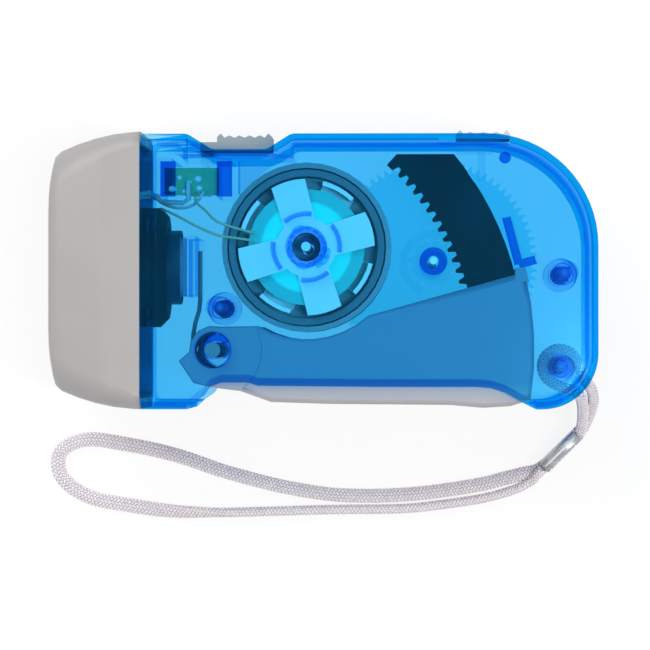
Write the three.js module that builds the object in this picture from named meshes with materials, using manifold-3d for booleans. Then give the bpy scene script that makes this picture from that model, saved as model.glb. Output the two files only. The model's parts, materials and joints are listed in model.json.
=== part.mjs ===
// A hand crank torch with a see-through casing, lying on its right side.
// Millimetres. +X runs to the rear, +Y to the side with the switches, +Z up through the thickness.
// Pieces are drawn about the middle plane of the casing, and the whole torch is lifted onto z = 0.
import * as THREE from 'three';
import { mergeVertices } from 'three/addons/utils/BufferGeometryUtils.js';
import Module from 'manifold-3d';

const wasm = await Module();
wasm.setup();

// Overall sizes
const TORCH_LENGTH = 105.1;
const HEAD_HEIGHT = 53.2;
const THICKNESS = 34;
const HEAD_LENGTH = 17.65;
const CASE_TOP_DROP = 0.4;
const WALL = 1.8;
const EDGE_ROUND = 3;

// Clearances
const GAP = 0.3;
const BACKLASH = 0.16;
const OVERRUN = 1;
const TINY = 0.02;

// Casing outline
const REAR_TOP_ROUND = 21.5;
const REAR_BOTTOM_ROUND = 10.75;
const CAVITY_ROUND = 1.2;
const RECESS_DEPTH = 3;
const RECESS_WALL = 1;
const RECESS_START = 8.8;
const RECESS_SLOPE = 4.8;
const RECESS_FLOOR = 10.4;
const RECESS_ROUND = 2.4;
const BULKHEAD = 1.9;
const SPIGOT_DEPTH = 3;
const SPIGOT_WALL = 1.6;
const SLOT_HEIGHT = 15;

// Lever opening in the casing, as shares of its width and of its height above the lower edge
const OPENING_FRONT = 26.5;
const OPENING_LENGTH = 66.6;
const OPENING_RISE = 4.3;
const OPENING_SHARES = [
  [0, 0], [0.024, 0.36], [0.05, 0.63], [0.067, 1], [0.1, 1.19], [0.179, 1.19], [0.205, 1.05],
  [0.555, 1], [0.828, 1], [0.87, 0.95], [0.913, 0.74], [0.952, 0.4], [1, 0.02],
];
const LIP_WIDTH = 1.5;
const LIP_DEPTH = 0.9;

// Head, lens and lamp
const HEAD_WALL = 2;
const HEAD_SHARES = [
  [0, 0.7, 0.9], [0.022, 0.773, 0.925], [0.052, 0.838, 0.94], [0.112, 0.871, 0.952], [0.293, 0.918, 0.97],
  [0.495, 0.957, 0.985], [0.696, 0.984, 1], [0.897, 0.997, 1], [1, 1, 1],
];
const HEAD_FRONT_ROUND = 7.5;
const HOLLOW_START_SHARE = 0.1;
const LENS_RADIUS = 14.3;
const LENS_THICKNESS = 1.2;
const BEZEL_LIP = 0.9;
const BEZEL_LIP_WIDTH = 0.9;
const SOCKET_WALL = 1.4;
const REFLECTOR_DEPTH = 7.4;
const REFLECTOR_SKIN = 0.8;
const REFLECTOR_FLOOR = 7.6;
const LED_RADIUS = 2.5;
const LED_FLANGE = 0.5;
const LED_FLANGE_DEPTH = 1;
const LED_LENGTH = 6.6;
const LED_CIRCLE = 4.1;
const LED_COUNT = 3;
const LED_BOARD_RADIUS = 11;
const BOARD_THICKNESS = 1.2;

// Battery
const HOLDER_RADIUS = 11.7;
const HOLDER_LENGTH = 8;
const HOLDER_TAPER = 1.6;
const CELL_RADIUS = 6.6;
const CELL_THICKNESS = 3.1;
const CELL_ROUND = 0.5;
const CELL_COUNT = 3;
const SLEEVE_SKIN = 0.35;
const CONTACT_THICKNESS = 0.5;
const CONTACT_WIDTH = 6;
const RIB_THICKNESS = 2.5;
const RIB_HEIGHT = 11.4;
const BATTERY_RISE = 0.9;

// Lever and its pivot
const PIVOT_FROM_FRONT = 31.45;
const PIVOT_ABOVE_BOTTOM = 11.35;
const PIVOT_BOSS_RADIUS = 3.6;
const PIVOT_JOURNAL_RADIUS = 3.2;
const PIVOT_PIN_RADIUS = 1.5;
const LEVER_SIDE_GAP = 1.2;
const LEVER_WALL = 1.8;
const LEVER_HUB_WALL = 1.2;
const LEVER_HUB_RECESS = 0.4;
const LEVER_HUB_REACH = 9.4;
const LEVER_REAR_WALL = 1.2;
const LEVER_EDGE_ROUND = 1.1;
const LEVER_REACH = 61.5;
const LEVER_TAB = 1.9;
const LEVER_TAB_RISE = 1.1;
const FLYWHEEL_ROOM = 1.4;
const ARCH_ANGLES = [-48, -121];
const HUB_ANGLES = [72, 185];
// Underside of the lever, as shares of its reach from the pivot
const LEVER_UNDER_SHARES = [
  [-0.062, -0.103], [-0.011, -0.116], [0.085, -0.128], [0.18, -0.162], [0.364, -0.168],
  [0.737, -0.171], [0.838, -0.18], [0.924, -0.175],
];
const LEVER_FLOOR_SHARE = LEVER_UNDER_SHARES[4][1];
const LEVER_HEEL_SHARE = [-0.108, -0.034];
const LEVER_TOP_SHARE = 0.243;

// Sector and the gears that it drives
const SECTOR_MODULE = 0.7;
const SECTOR_TEETH = 142;
const PINION_TEETH = 12;
const SECTOR_ADDENDUM_SHARE = 0.8;
const SECTOR_THICKNESS = 4;
const SECTOR_SHIFT = 1;
const SECTOR_TEETH_BELOW = 3;
const SECTOR_TEETH_ABOVE = 9;
const SECTOR_FOOT_HEIGHT = 4.4;
const SECTOR_FOOT_LENGTH = 27;
const SECTOR_BAR_RADIUS = 2.2;
const GEAR_LINE = 22;
const GEAR_MODULE = 0.5;
const DRIVE_TEETH = 80;
const ROTOR_TEETH = 18;
const ROTOR_LINE = 173.7;
const PRESSURE_ANGLE = 20;
const ROOT_CLEARANCE_SHARE = 0.25;
const GEAR_THICKNESS = 2;
const GEAR_WEB = 1.1;
const GEAR_RIM = 2.6;
const GEAR_SPACING = 2;
const GEAR_HUB_RADIUS = 3.1;
const GEAR_AXLE_RADIUS = 0.8;
const GEAR_BOSS_RADIUS = 2.7;
const GEAR_BOSS_DEPTH = 4;
const RATCHET_THICKNESS = 1.1;
const RATCHET_TEETH = 8;
const RATCHET_DEPTH = 0.8;
const PAWL_WIDTH = 1.6;
const PAWL_ANGLES = [20, 250];
const RATCHET_RELIEF = 2;

// Flywheel generator
const FLYWHEEL_RADIUS = 16.3;
const FLYWHEEL_DEPTH = 9.5;
const FLYWHEEL_SKIN = 1;
const FLYWHEEL_WEB = 1.2;
const FLYWHEEL_HUB_RADIUS = 2.4;
const MAGNET_THICKNESS = 1.3;
const SHAFT_RADIUS = 0.9;
const SHAFT_BOSS_RADIUS = 4;
const STATOR_SHEET = 0.8;
const STATOR_SPACE = 7;
const STATOR_ARMS = 4;
const STATOR_ARM_WIDTH = 5.7;
const STATOR_ARM_FLARE = 0.5;
const STATOR_DISC_RADIUS = 5.7;
const STATOR_TURN = 16;
const STATOR_RIB_RADIUS = 6.4;
const STATOR_RIB_THICKNESS = 0.9;
const STATOR_RIB_SPAN = 50;
const CORE_WALL = 0.9;
const STAKE_RADIUS = 2.5;
const BOBBIN_SKIN = 0.7;
const BOBBIN_RADIUS = 11.2;
const COIL_RADIUS = 9.6;

// Return spring
const SPRING_WIRE_RADIUS = 0.45;
const SPRING_PITCH = 1.4;
const SPRING_CURLS = 3.25;
const SPRING_LEG = 19;
const SPRING_REST = 9.2;
const SPRING_REST_DROP = 13;
// The fixed leg from its end to the curls, as shares of its length and of its step to the side
const SPRING_LEG_SHARES = [[1, 1], [0.5, 1], [0.4, 0.85], [0.27, 0.3], [0.15, 0]];

// Screws and their bosses
const SCREW_RADIUS = 1;
const SCREW_HEAD_RADIUS = 1.9;
const SCREW_HEAD_HEIGHT = 1.4;
const SCREW_SINK = 3.4;
const SCREW_REACH = 8;
const SCREW_SLOT_SHARE = 0.6;
const SCREW_BLADE_SHARE = 0.15;
const BOSS_RADIUS = 2.2;
const BOSS_FOOT_RADIUS = 3.3;
const BOSS_FOOT_HEIGHT = 7;
const FRONT_SCREW_ASIDE = 0.86;
const FRONT_SCREW_ABOVE = 8.2;
const REAR_SCREW_SHARE = 0.59;
const REAR_SCREW_ABOVE_BOTTOM = 26.2;
const STRAP_BOSS_FROM_REAR = 6.65;
const STRAP_BOSS_ABOVE_BOTTOM = 8.1;
const STRAP_BOSS_RADIUS = 1.9;

// Power switch
const KNOB_WIDTH = 9;
const KNOB_LENGTH = 10.7;
const KNOB_PLATE = 1.7;
const KNOB_HEIGHT = 3.3;
const KNOB_FOOT = 3.3;
const KNOB_TRAVEL = 2.4;
const KNOB_FROM_CASE = 10.7;
const KNOB_RIB_DEPTH = 0.45;
const KNOB_PAD_RISE = 0.3;
const KNOB_RIBS = 4;
const STEM_WIDTH = 3;
const STEM_LENGTH = 2.4;
const RETAINER_THICKNESS = 0.9;
const RETAINER_WIDTH = 7.2;
const GUSSET_HEIGHT = 6.5;
const SWITCH_BOARD_LENGTH = 10.6;
const SWITCH_BOARD_HEIGHT = 5.3;
const SWITCH_BODY_LENGTH = 5;
const SWITCH_BODY_DEPTH = 4.4;
const SWITCH_ROOM = 2;
const SWITCH_NUB = 1;
const SWITCH_BOARD_LEVEL = 3;
const SWITCH_BOARD_SHARE = 0.77;
const SWITCH_BODY_SHARE = 0.84;
const KNOB_PAD = 1.4;
const BRACKET_WIDTH = 3;
const BRACKET_LAP = 0.8;
const BRACKET_HEIGHT = 6.9;

// Lever lock
const LOCK_FROM_PIVOT = 46.75;
const LOCK_LENGTH = 10.4;
const LOCK_THICKNESS = 1.9;
const LOCK_SINK = 1;
const LOCK_TRAVEL = 3.2;
const LOCK_RIBS = 3;
const LOCK_PAD = 1.4;
const LOCK_TONGUE = 1.5;
const LOCK_PEG_SHIFT = 4.1;
const LOCK_STEM_SHARE = 0.333;
const LOCK_PEG_HEIGHT = 1.4;
const LOCK_PEG_DEPTH = 1.8;

// Ribs inside the casing
const STOP_RIB_WIDTH = 1.7;
const STOP_RIB_LENGTH = 9.4;
const STOP_RIB_FOOT = 3.4;
const STOP_RIB_DEPTH = 11;
const STOP_RIB_LEAN = 15;
const POST_RADIUS = 1.15;
const POST_DEPTH = 6;
const POST_DROP = 2.6;
const WIRE_HOLE_RADIUS = 1.6;

// Strap: an unbroken braided cord, folded into two loops by one crimped ferrule
const STRAP_RADIUS = 1.2;
const STRAP_SLOT_FROM = -64;
const STRAP_SLOT_TO = -12;
const STRAP_SLOT_HEIGHT = 3.4;
const FERRULE_WIDTH = 2.6;
const FERRULE_HEIGHT = 5;
const FERRULE_TEETH = 7;
const FERRULE_TOOTH = 0.3;
const FERRULE_FOLD_SHARE = 0.6;
const BATTERY_WIRE_RADIUS = 0.5;
const SWITCH_WIRE_RADIUS = 0.3;
const COIL_WIRE_RADIUS = 0.25;

// Facets
const ROUND = 24;
const SMALL_ROUND = 14;
const BIG_ROUND = 36;
const FINE_ROUND = 120;
const CORNER_STEPS = 4;
const LONG_CORNER_STEPS = 8;
const EDGE_STEPS = 3;
const CORD_SIDES = 8;
const SPRING_SIDES = 5;
const SPRING_STEPS = 8;
const GAP_STEPS = [0.2, 0.4, 0.6, 0.8, 1];
const SMALL_LOOP_STEPS = 28;
const BIG_LOOP_STEPS = 64;
const WIRE_STEPS = 12;

// Places worked out from the sizes above
const FRONT = -TORCH_LENGTH / 2;
const REAR = TORCH_LENGTH / 2;
const BOTTOM = -HEAD_HEIGHT / 2;
const TOP = HEAD_HEIGHT / 2 - CASE_TOP_DROP;
const CASE_FRONT = FRONT + HEAD_LENGTH;
const SIDE = THICKNESS / 2;
const INNER_SIDE = SIDE - WALL;
const INNER_TOP = TOP - WALL;
const INNER_BOTTOM = BOTTOM + WALL;
const INNER_REAR = REAR - WALL;
const INNER_FRONT = CASE_FRONT + BULKHEAD;

const radians = (degrees) => THREE.MathUtils.degToRad(degrees);
const at = (x, y) => new THREE.Vector2(x, y);

function polar(centre, radius, angle) {
  return at(centre.x + radius * Math.cos(angle), centre.y + radius * Math.sin(angle));
}

const PIVOT = at(FRONT + PIVOT_FROM_FRONT, BOTTOM + PIVOT_ABOVE_BOTTOM);
const SECTOR_PITCH = (SECTOR_MODULE * SECTOR_TEETH) / 2;
const PINION_PITCH = (SECTOR_MODULE * PINION_TEETH) / 2;
const DRIVE_PITCH = (GEAR_MODULE * DRIVE_TEETH) / 2;
const ROTOR_PITCH = (GEAR_MODULE * ROTOR_TEETH) / 2;
const AXLE = polar(PIVOT, SECTOR_PITCH - PINION_PITCH, radians(GEAR_LINE));
const ROTOR = polar(AXLE, DRIVE_PITCH + ROTOR_PITCH, radians(ROTOR_LINE));

const LEVER_SIDE = INNER_SIDE - LEVER_SIDE_GAP;
const LEVER_INNER = LEVER_SIDE - LEVER_WALL;
const SECTOR_OUTER = LEVER_REACH - LEVER_REAR_WALL - GAP;
const SECTOR_BACK = SECTOR_SHIFT - SECTOR_THICKNESS / 2;
const SECTOR_FRONT = SECTOR_SHIFT + SECTOR_THICKNESS / 2;
const GEAR_FRONT = SECTOR_BACK - GEAR_SPACING;
const GEAR_BACK = GEAR_FRONT - GEAR_THICKNESS;
const STATOR_FRONT = LEVER_INNER + GAP + GAP;
const STATOR_BACK = STATOR_FRONT - STATOR_SHEET;
const FLYWHEEL_FRONT = STATOR_BACK - GAP - GAP;
const FLYWHEEL_BACK = FLYWHEEL_FRONT - FLYWHEEL_DEPTH;
const MAGNET_OUTER = FLYWHEEL_RADIUS - FLYWHEEL_SKIN - GAP;
const MAGNET_INNER = MAGNET_OUTER - MAGNET_THICKNESS;
const CLAW_RADIUS = MAGNET_INNER - GAP - GAP;
const PIN_END = INNER_SIDE + WALL / 2;
const STRAP_BOSS = at(REAR - STRAP_BOSS_FROM_REAR, BOTTOM + STRAP_BOSS_ABOVE_BOTTOM);
const REAR_SCREW = at(
  THREE.MathUtils.lerp(PIVOT.x + LEVER_REACH, INNER_REAR, REAR_SCREW_SHARE), BOTTOM + REAR_SCREW_ABOVE_BOTTOM,
);
const FRONT_SCREW = at(PIVOT.x + FRONT_SCREW_ASIDE, PIVOT.y + FRONT_SCREW_ABOVE);
const SCREWS = [FRONT_SCREW, REAR_SCREW, STRAP_BOSS];
const KNOB_START = CASE_FRONT + KNOB_FROM_CASE;
const KNOB_END = KNOB_START + KNOB_FOOT + KNOB_LENGTH;
const RECESS_LEVEL = TOP - RECESS_DEPTH;
const ROOF_LEVEL = RECESS_LEVEL - RECESS_WALL;
const LOCK_START = PIVOT.x + LOCK_FROM_PIVOT;
const LOCK_STEM_START = LOCK_START + LOCK_LENGTH * LOCK_STEM_SHARE;
const LOCK_LEVEL = TOP - LOCK_SINK;
const LOCK_TOP = LOCK_LEVEL + GAP + LOCK_THICKNESS;
const POST = at(LOCK_START + LOCK_LENGTH - POST_RADIUS, INNER_TOP - POST_DROP);
const WIRE_HOLE_Y = BATTERY_RISE + HOLDER_RADIUS + GAP + WIRE_HOLE_RADIUS + OVERRUN;
const REFLECTOR_END = FRONT + BEZEL_LIP + LENS_THICKNESS + REFLECTOR_DEPTH + REFLECTOR_SKIN;
const LED_BASE = REFLECTOR_END + LED_FLANGE_DEPTH + 3 * GAP;
const LED_BOARD_BACK = LED_BASE + GAP + BOARD_THICKNESS;
const SLEEVE_RADIUS = CELL_RADIUS + GAP + SLEEVE_SKIN;
const BATTERY_START = LED_BOARD_BACK + GAP;
const BATTERY_END = BATTERY_START + CELL_COUNT * (CELL_THICKNESS + GAP) + GAP;
const RIB_BASE = BATTERY_RISE - RIB_HEIGHT / 2;
const RIB_START = BATTERY_END + CONTACT_THICKNESS + 2 * GAP;
const LEVER_TOP = PIVOT.y + LEVER_REACH * LEVER_TOP_SHARE;
const SWITCH_BOARD_START = KNOB_START + STEM_LENGTH / 2 - SWITCH_BOARD_LENGTH * SWITCH_BOARD_SHARE;
const SWITCH_BOARD_BASE = ROOF_LEVEL - SWITCH_ROOM - SWITCH_BOARD_HEIGHT;
const SWITCH_START = KNOB_START + STEM_LENGTH / 2 - SWITCH_BODY_LENGTH * SWITCH_BODY_SHARE;
const BRACKET_LEVEL = SWITCH_BOARD_BASE - GAP;
const LOCK_PLATE_LEVEL = INNER_TOP - GAP - RETAINER_THICKNESS;
const LOCK_FRONT = SECTOR_FRONT + GAP + LOCK_TONGUE;
const PEG_START = LOCK_START + LOCK_PEG_SHIFT;
const PEG_LEVEL = PIVOT.y + Math.sqrt((SECTOR_OUTER + 2 * GAP) ** 2 - (PEG_START - PIVOT.x) ** 2);
const STATOR_REAR = STATOR_BACK - STATOR_SPACE;
const CORE_RADIUS = STAKE_RADIUS + GAP + CORE_WALL;
const ROTOR_GEAR_FRONT = GEAR_FRONT + GAP;
const ROTOR_GEAR_BACK = GEAR_BACK - GAP;
const RATCHET_RADIUS = PINION_PITCH + SECTOR_MODULE * SECTOR_ADDENDUM_SHARE;

// Materials, one for each finish
const finish = (color, roughness, metalness, opacity) => new THREE.MeshStandardMaterial({
  color, roughness, metalness, opacity, transparent: opacity < 1,
});
const BLUE_CLEAR = finish(0x1c8fe8, 0.12, 0, 0.45);
const WARM_GREY = finish(0xacaaaa, 0.5, 0, 1);
const LEVER_GREY = finish(0xa5a3a8, 0.5, 0, 1);
const KNOB_GREY = finish(0x8c9b9b, 0.5, 0, 1);
const BLACK_PLASTIC = finish(0x141416, 0.55, 0, 1);
const WHITE_NYLON = finish(0xe8e6de, 0.4, 0, 1);
const CLEAR_NYLON = finish(0xdce6ea, 0.35, 0, 0.35);
const STEEL = finish(0xc4c6c8, 0.25, 1, 1);
const DARK_STEEL = finish(0x3a3b3e, 0.4, 1, 1);
const FERRITE = finish(0x1f1f22, 0.7, 0, 1);
const CLEAR = finish(0xf4f8fa, 0.05, 0, 0.3);
const MIRROR = finish(0xe6e6e6, 0.08, 1, 1);
const COPPER = finish(0xb0602a, 0.35, 1, 1);
const GREEN_BOARD = finish(0x1f7a3c, 0.5, 0, 1);
const TEAL_BOBBIN = finish(0x2bb3a3, 0.45, 0, 1);
const BRAID = finish(0xc8bebe, 0.85, 0, 1);
const WIRE_WHITE = finish(0xdadada, 0.5, 0, 1);

// A closed body for cutting and joining, with its faces turned outwards
function solid(geometry) {
  const bare = geometry.clone();
  bare.deleteAttribute('normal');
  bare.deleteAttribute('uv');
  const merged = mergeVertices(bare, TINY / 10);
  const corners = merged.index.array;
  const kept = [];
  for (let i = 0; i < corners.length; i += 3) {
    const [a, b, c] = [corners[i], corners[i + 1], corners[i + 2]];
    if (a !== b && b !== c && c !== a) kept.push(a, b, c);
  }
  if (volumeOf(merged.attributes.position, kept) < 0) kept.reverse();
  return new wasm.Manifold(new wasm.Mesh({
    numProp: 3,
    vertProperties: new Float32Array(merged.attributes.position.array),
    triVerts: new Uint32Array(kept),
  }));
}

function volumeOf(position, corners) {
  const [a, b, c] = [new THREE.Vector3(), new THREE.Vector3(), new THREE.Vector3()];
  let sum = 0;
  for (let i = 0; i < corners.length; i += 3) {
    a.fromBufferAttribute(position, corners[i]);
    b.fromBufferAttribute(position, corners[i + 1]);
    c.fromBufferAttribute(position, corners[i + 2]);
    sum += a.dot(b.cross(c));
  }
  return sum;
}

function geometryOf(body) {
  const mesh = body.getMesh();
  const geometry = new THREE.BufferGeometry();
  geometry.setAttribute('position', new THREE.BufferAttribute(mesh.vertProperties, mesh.numProp));
  geometry.setIndex(new THREE.BufferAttribute(mesh.triVerts, 1));
  return geometry;
}

const join = (first, ...rest) => rest.reduce((body, other) => body.add(other), first);
const cut = (first, ...rest) => rest.reduce((body, other) => body.subtract(other), first);

// Basic bodies. Plates and turned bodies stand on the middle plane, from the low to the high level.
function plate(points, low, high, holes = []) {
  const shape = new THREE.Shape(points);
  holes.forEach((hole) => shape.holes.push(new THREE.Path(hole)));
  const geometry = new THREE.ExtrudeGeometry(shape, { depth: high - low, bevelEnabled: false, steps: 1 });
  return solid(geometry.translate(0, 0, low));
}

function block(left, right, lower, upper, low, high) {
  return solid(new THREE.BoxGeometry(right - left, upper - lower, high - low)
    .translate((left + right) / 2, (lower + upper) / 2, (low + high) / 2));
}

function rod(centre, radius, low, high, sides = ROUND) {
  return solid(new THREE.CylinderGeometry(radius, radius, high - low, sides)
    .rotateX(Math.PI / 2).translate(centre.x, centre.y, (low + high) / 2));
}

function tube(centre, radius, bore, low, high, sides = ROUND) {
  return cut(rod(centre, radius, low, high, sides), rod(centre, bore, low - OVERRUN, high + OVERRUN, sides));
}

// A profile of [radius, level] pairs turned about an upright axis through the centre
function turned(profile, centre, sides = ROUND) {
  const points = profile.map(([radius, level]) => at(radius, level));
  return solid(new THREE.LatheGeometry(points, sides).rotateX(Math.PI / 2).translate(centre.x, centre.y, 0));
}

// Turns an upright body so that its axis runs along X
const ALONG_X = new THREE.Matrix4().makeBasis(
  new THREE.Vector3(0, 1, 0), new THREE.Vector3(0, 0, 1), new THREE.Vector3(1, 0, 0),
);

function turnedAlongX(profile, y, z, sides = ROUND) {
  const points = profile.map(([radius, level]) => at(radius, level));
  const geometry = new THREE.LatheGeometry(points, sides).rotateX(Math.PI / 2).applyMatrix4(ALONG_X);
  return solid(geometry.translate(0, y, z));
}

function rodAlongX(y, z, radius, from, to, sides = ROUND) {
  return turnedAlongX([[0, from], [radius, from], [radius, to], [0, to]], y, z, sides);
}

function arc(centre, radius, from, to, steps) {
  return Array.from({ length: steps + 1 }, (_, i) => polar(centre, radius, from + ((to - from) * i) / steps));
}

const circle = (centre, radius, sides) => arc(centre, radius, 0, 2 * Math.PI, sides).slice(1);

// An outline from corners [x, y, rounding, steps], walked anticlockwise and moved inwards by an inset
function rounded(corners, inset = 0) {
  const count = corners.length;
  const edge = (i) => {
    const [a, b] = [corners[(i + count) % count], corners[(i + 1) % count]];
    return at(b[0] - a[0], b[1] - a[1]).normalize();
  };
  return corners.flatMap(([x, y, radius, steps = CORNER_STEPS], i) => {
    const [before, after] = [edge(i - 1), edge(i)];
    const [normal, next] = [at(-before.y, before.x), at(-after.y, after.x)];
    const tip = at(x, y).addScaledVector(normal.clone().add(next), inset / (1 + normal.dot(next)));
    const turn = Math.atan2(before.cross(after), before.dot(after));
    const bend = turn > 0 ? Math.max(radius - inset, TINY) : -(radius + inset);
    const start = tip.clone().addScaledVector(before, -bend * Math.tan(turn / 2));
    const centre = start.clone().addScaledVector(normal, bend);
    const from = Math.atan2(start.y - centre.y, start.x - centre.x);
    return arc(centre, Math.abs(bend), from, from + turn, steps);
  });
}

// A body through outlines of equal point counts, given as [points, level] pairs from low to high
function loft(levels) {
  const count = levels[0][0].length;
  const positions = levels.flatMap(([points, level]) => points.flatMap((p) => [p.x, p.y, level]));
  const index = [];
  for (let ring = 0; ring + 1 < levels.length; ring += 1) {
    for (let i = 0; i < count; i += 1) {
      const [a, b] = [ring * count + i, ring * count + ((i + 1) % count)];
      index.push(a, b, b + count, a, b + count, a + count);
    }
  }
  const last = (levels.length - 1) * count;
  THREE.ShapeUtils.triangulateShape(levels[0][0], []).forEach(([a, b, c]) => index.push(c, b, a));
  THREE.ShapeUtils.triangulateShape(levels[levels.length - 1][0], [])
    .forEach(([a, b, c]) => index.push(last + a, last + b, last + c));
  const geometry = new THREE.BufferGeometry();
  geometry.setAttribute('position', new THREE.Float32BufferAttribute(positions, 3));
  geometry.setIndex(index);
  return solid(geometry);
}

// A round wire along points, with its ends closed
function wireAlong(points, radius, sides) {
  const positions = [];
  let across = new THREE.Vector3(0, 0, 1);
  points.forEach((point, i) => {
    const ahead = points[Math.min(i + 1, points.length - 1)];
    const behind = points[Math.max(i - 1, 0)];
    const along = ahead.clone().sub(behind).normalize();
    across = across.clone().addScaledVector(along, -across.dot(along)).normalize();
    const side = along.clone().cross(across);
    for (let k = 0; k < sides; k += 1) {
      const angle = (2 * Math.PI * k) / sides;
      const spot = point.clone().addScaledVector(across, radius * Math.cos(angle))
        .addScaledVector(side, radius * Math.sin(angle));
      positions.push(spot.x, spot.y, spot.z);
    }
  });
  const index = [];
  for (let ring = 0; ring + 1 < points.length; ring += 1) {
    for (let k = 0; k < sides; k += 1) {
      const [a, b] = [ring * sides + k, ring * sides + ((k + 1) % sides)];
      index.push(a, b, b + sides, a, b + sides, a + sides);
    }
  }
  const last = (points.length - 1) * sides;
  for (let k = 1; k + 1 < sides; k += 1) {
    index.push(0, k + 1, k, last, last + k, last + k + 1);
  }
  const geometry = new THREE.BufferGeometry();
  geometry.setAttribute('position', new THREE.Float32BufferAttribute(positions, 3));
  geometry.setIndex(index);
  return solid(geometry);
}

// A cord along a smooth curve through its points
function cordAlong(points, radius, steps) {
  const path = new THREE.CatmullRomCurve3(points.map((p) => new THREE.Vector3(...p)), false, 'centripetal');
  const section = new THREE.Shape(circle(at(0, 0), radius, CORD_SIDES));
  return solid(new THREE.ExtrudeGeometry(section, { steps, extrudePath: path, bevelEnabled: false }));
}

// Gear teeth with involute flanks. The half angle is that of a tooth, or of a space in an inner gear.
const involute = (angle) => Math.tan(angle) - angle;

function halfAngle(radius, pitchRadius, width) {
  const base = pitchRadius * Math.cos(radians(PRESSURE_ANGLE));
  const pressure = Math.acos(Math.min(1, base / radius));
  return width / (2 * pitchRadius) + involute(radians(PRESSURE_ANGLE)) - involute(pressure);
}

function gearOutline(teeth, size, firstTooth, addendumShare = 1) {
  const pitch = (teeth * size) / 2;
  const tip = pitch + addendumShare * size;
  const root = pitch - (addendumShare + ROOT_CLEARANCE_SHARE) * size;
  const width = (Math.PI * size) / 2 - BACKLASH;
  const centre = at(0, 0);
  return Array.from({ length: teeth }, (_, i) => {
    const middle = firstTooth + (2 * Math.PI * i) / teeth;
    const [low, high] = [halfAngle(root, pitch, width), halfAngle(tip, pitch, width)];
    return [
      polar(centre, root, middle - low), polar(centre, tip, middle - high),
      polar(centre, tip, middle + high), polar(centre, root, middle + low),
    ];
  }).flat();
}

// Casing: two moulded halves with a rounded outer edge and an even wall
function caseCorners(front) {
  const slopeStart = CASE_FRONT + RECESS_START;
  const floorStart = slopeStart + RECESS_SLOPE;
  const floorEnd = floorStart + RECESS_FLOOR;
  return [
    [front, BOTTOM, TINY, 1],
    [REAR, BOTTOM, REAR_BOTTOM_ROUND, LONG_CORNER_STEPS],
    [REAR, TOP, REAR_TOP_ROUND, LONG_CORNER_STEPS],
    [floorEnd + RECESS_SLOPE, TOP, RECESS_ROUND, EDGE_STEPS],
    [floorEnd, RECESS_LEVEL, RECESS_ROUND, EDGE_STEPS],
    [floorStart, RECESS_LEVEL, RECESS_ROUND, EDGE_STEPS],
    [slopeStart, TOP, RECESS_ROUND, EDGE_STEPS],
    [front, TOP, TINY, 1],
  ];
}

function cavityCorners() {
  const stepStart = KNOB_START - KNOB_TRAVEL - GAP - RECESS_WALL;
  const stepEnd = CASE_FRONT + RECESS_START + RECESS_SLOPE * 2 + RECESS_FLOOR;
  return [
    [INNER_FRONT, INNER_BOTTOM, CAVITY_ROUND, 2],
    [INNER_REAR, INNER_BOTTOM, REAR_BOTTOM_ROUND - WALL, LONG_CORNER_STEPS],
    [INNER_REAR, INNER_TOP, REAR_TOP_ROUND - WALL, LONG_CORNER_STEPS],
    [stepEnd, INNER_TOP, TINY, 1],
    [stepEnd, ROOF_LEVEL, TINY, 1],
    [stepStart, ROOF_LEVEL, TINY, 1],
    [stepStart, INNER_TOP, TINY, 1],
    [INNER_FRONT, INNER_TOP, CAVITY_ROUND, 2],
  ];
}

// Outline levels from the parting plane to the side face, with the edge rounded over
function shellLevels(corners, start, side, round) {
  const levels = [[rounded(corners), start], [rounded(corners), side - round]];
  for (let i = 1; i <= EDGE_STEPS; i += 1) {
    const angle = (Math.PI / 2) * (i / EDGE_STEPS);
    levels.push([rounded(corners, round * (1 - Math.cos(angle))), side - round + round * Math.sin(angle)]);
  }
  return levels;
}

// The plain half shell on the upper side of the middle plane
function halfShell() {
  const headSpaceEnd = CASE_FRONT + GAP / 2;
  const outlineStart = CASE_FRONT - EDGE_ROUND - OVERRUN;
  const outer = loft(shellLevels(caseCorners(outlineStart), GAP / 2, SIDE, EDGE_ROUND));
  const inner = loft(shellLevels(cavityCorners(), -OVERRUN, INNER_SIDE, CAVITY_ROUND));
  const headSpace = block(
    outlineStart - OVERRUN, headSpaceEnd, BOTTOM - OVERRUN, TOP + OVERRUN, -OVERRUN, SIDE + OVERRUN,
  );
  return cut(outer, inner, headSpace);
}

// The collar in front of the bulkhead that carries the head
function spigot() {
  const outer = HEAD_WALL + GAP;
  const inner = outer + SPIGOT_WALL;
  const start = CASE_FRONT - SPIGOT_DEPTH;
  const [along, high, wide] = HEAD_SHARES.findLast(([share]) => FRONT + share * HEAD_LENGTH <= start);
  const section = headSection(high, wide, headRound(along));
  const body = loft([[rounded(section, outer), start], [rounded(section, outer), CASE_FRONT + WALL / 2]]);
  const hollow = loft([
    [rounded(section, inner), start - OVERRUN], [rounded(section, inner), CASE_FRONT + WALL],
  ]);
  const otherHalf = block(FRONT, REAR, BOTTOM, HEAD_HEIGHT / 2, -SIDE, GAP / 2);
  return cut(turnedToX(cut(body, hollow)), otherHalf);
}

// The lever opening: the casing's lower edge, raised by a rise, and all that lies below it
function openingBody(rise, low, high) {
  const start = FRONT + OPENING_FRONT;
  const edge = OPENING_SHARES.map(([along, up]) => (
    at(start + along * OPENING_LENGTH, BOTTOM + up * OPENING_RISE + rise)
  ));
  const below = BOTTOM - OVERRUN;
  const end = start + OPENING_LENGTH;
  return plate([at(start, below), at(end, below), ...edge.reverse()], low, high);
}

function lip() {
  const band = openingBody(LIP_WIDTH, INNER_SIDE - LIP_DEPTH, INNER_SIDE + WALL / 2);
  const outside = block(REAR, REAR + OVERRUN, BOTTOM, TOP, 0, SIDE);
  return cut(band, outside);
}

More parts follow.
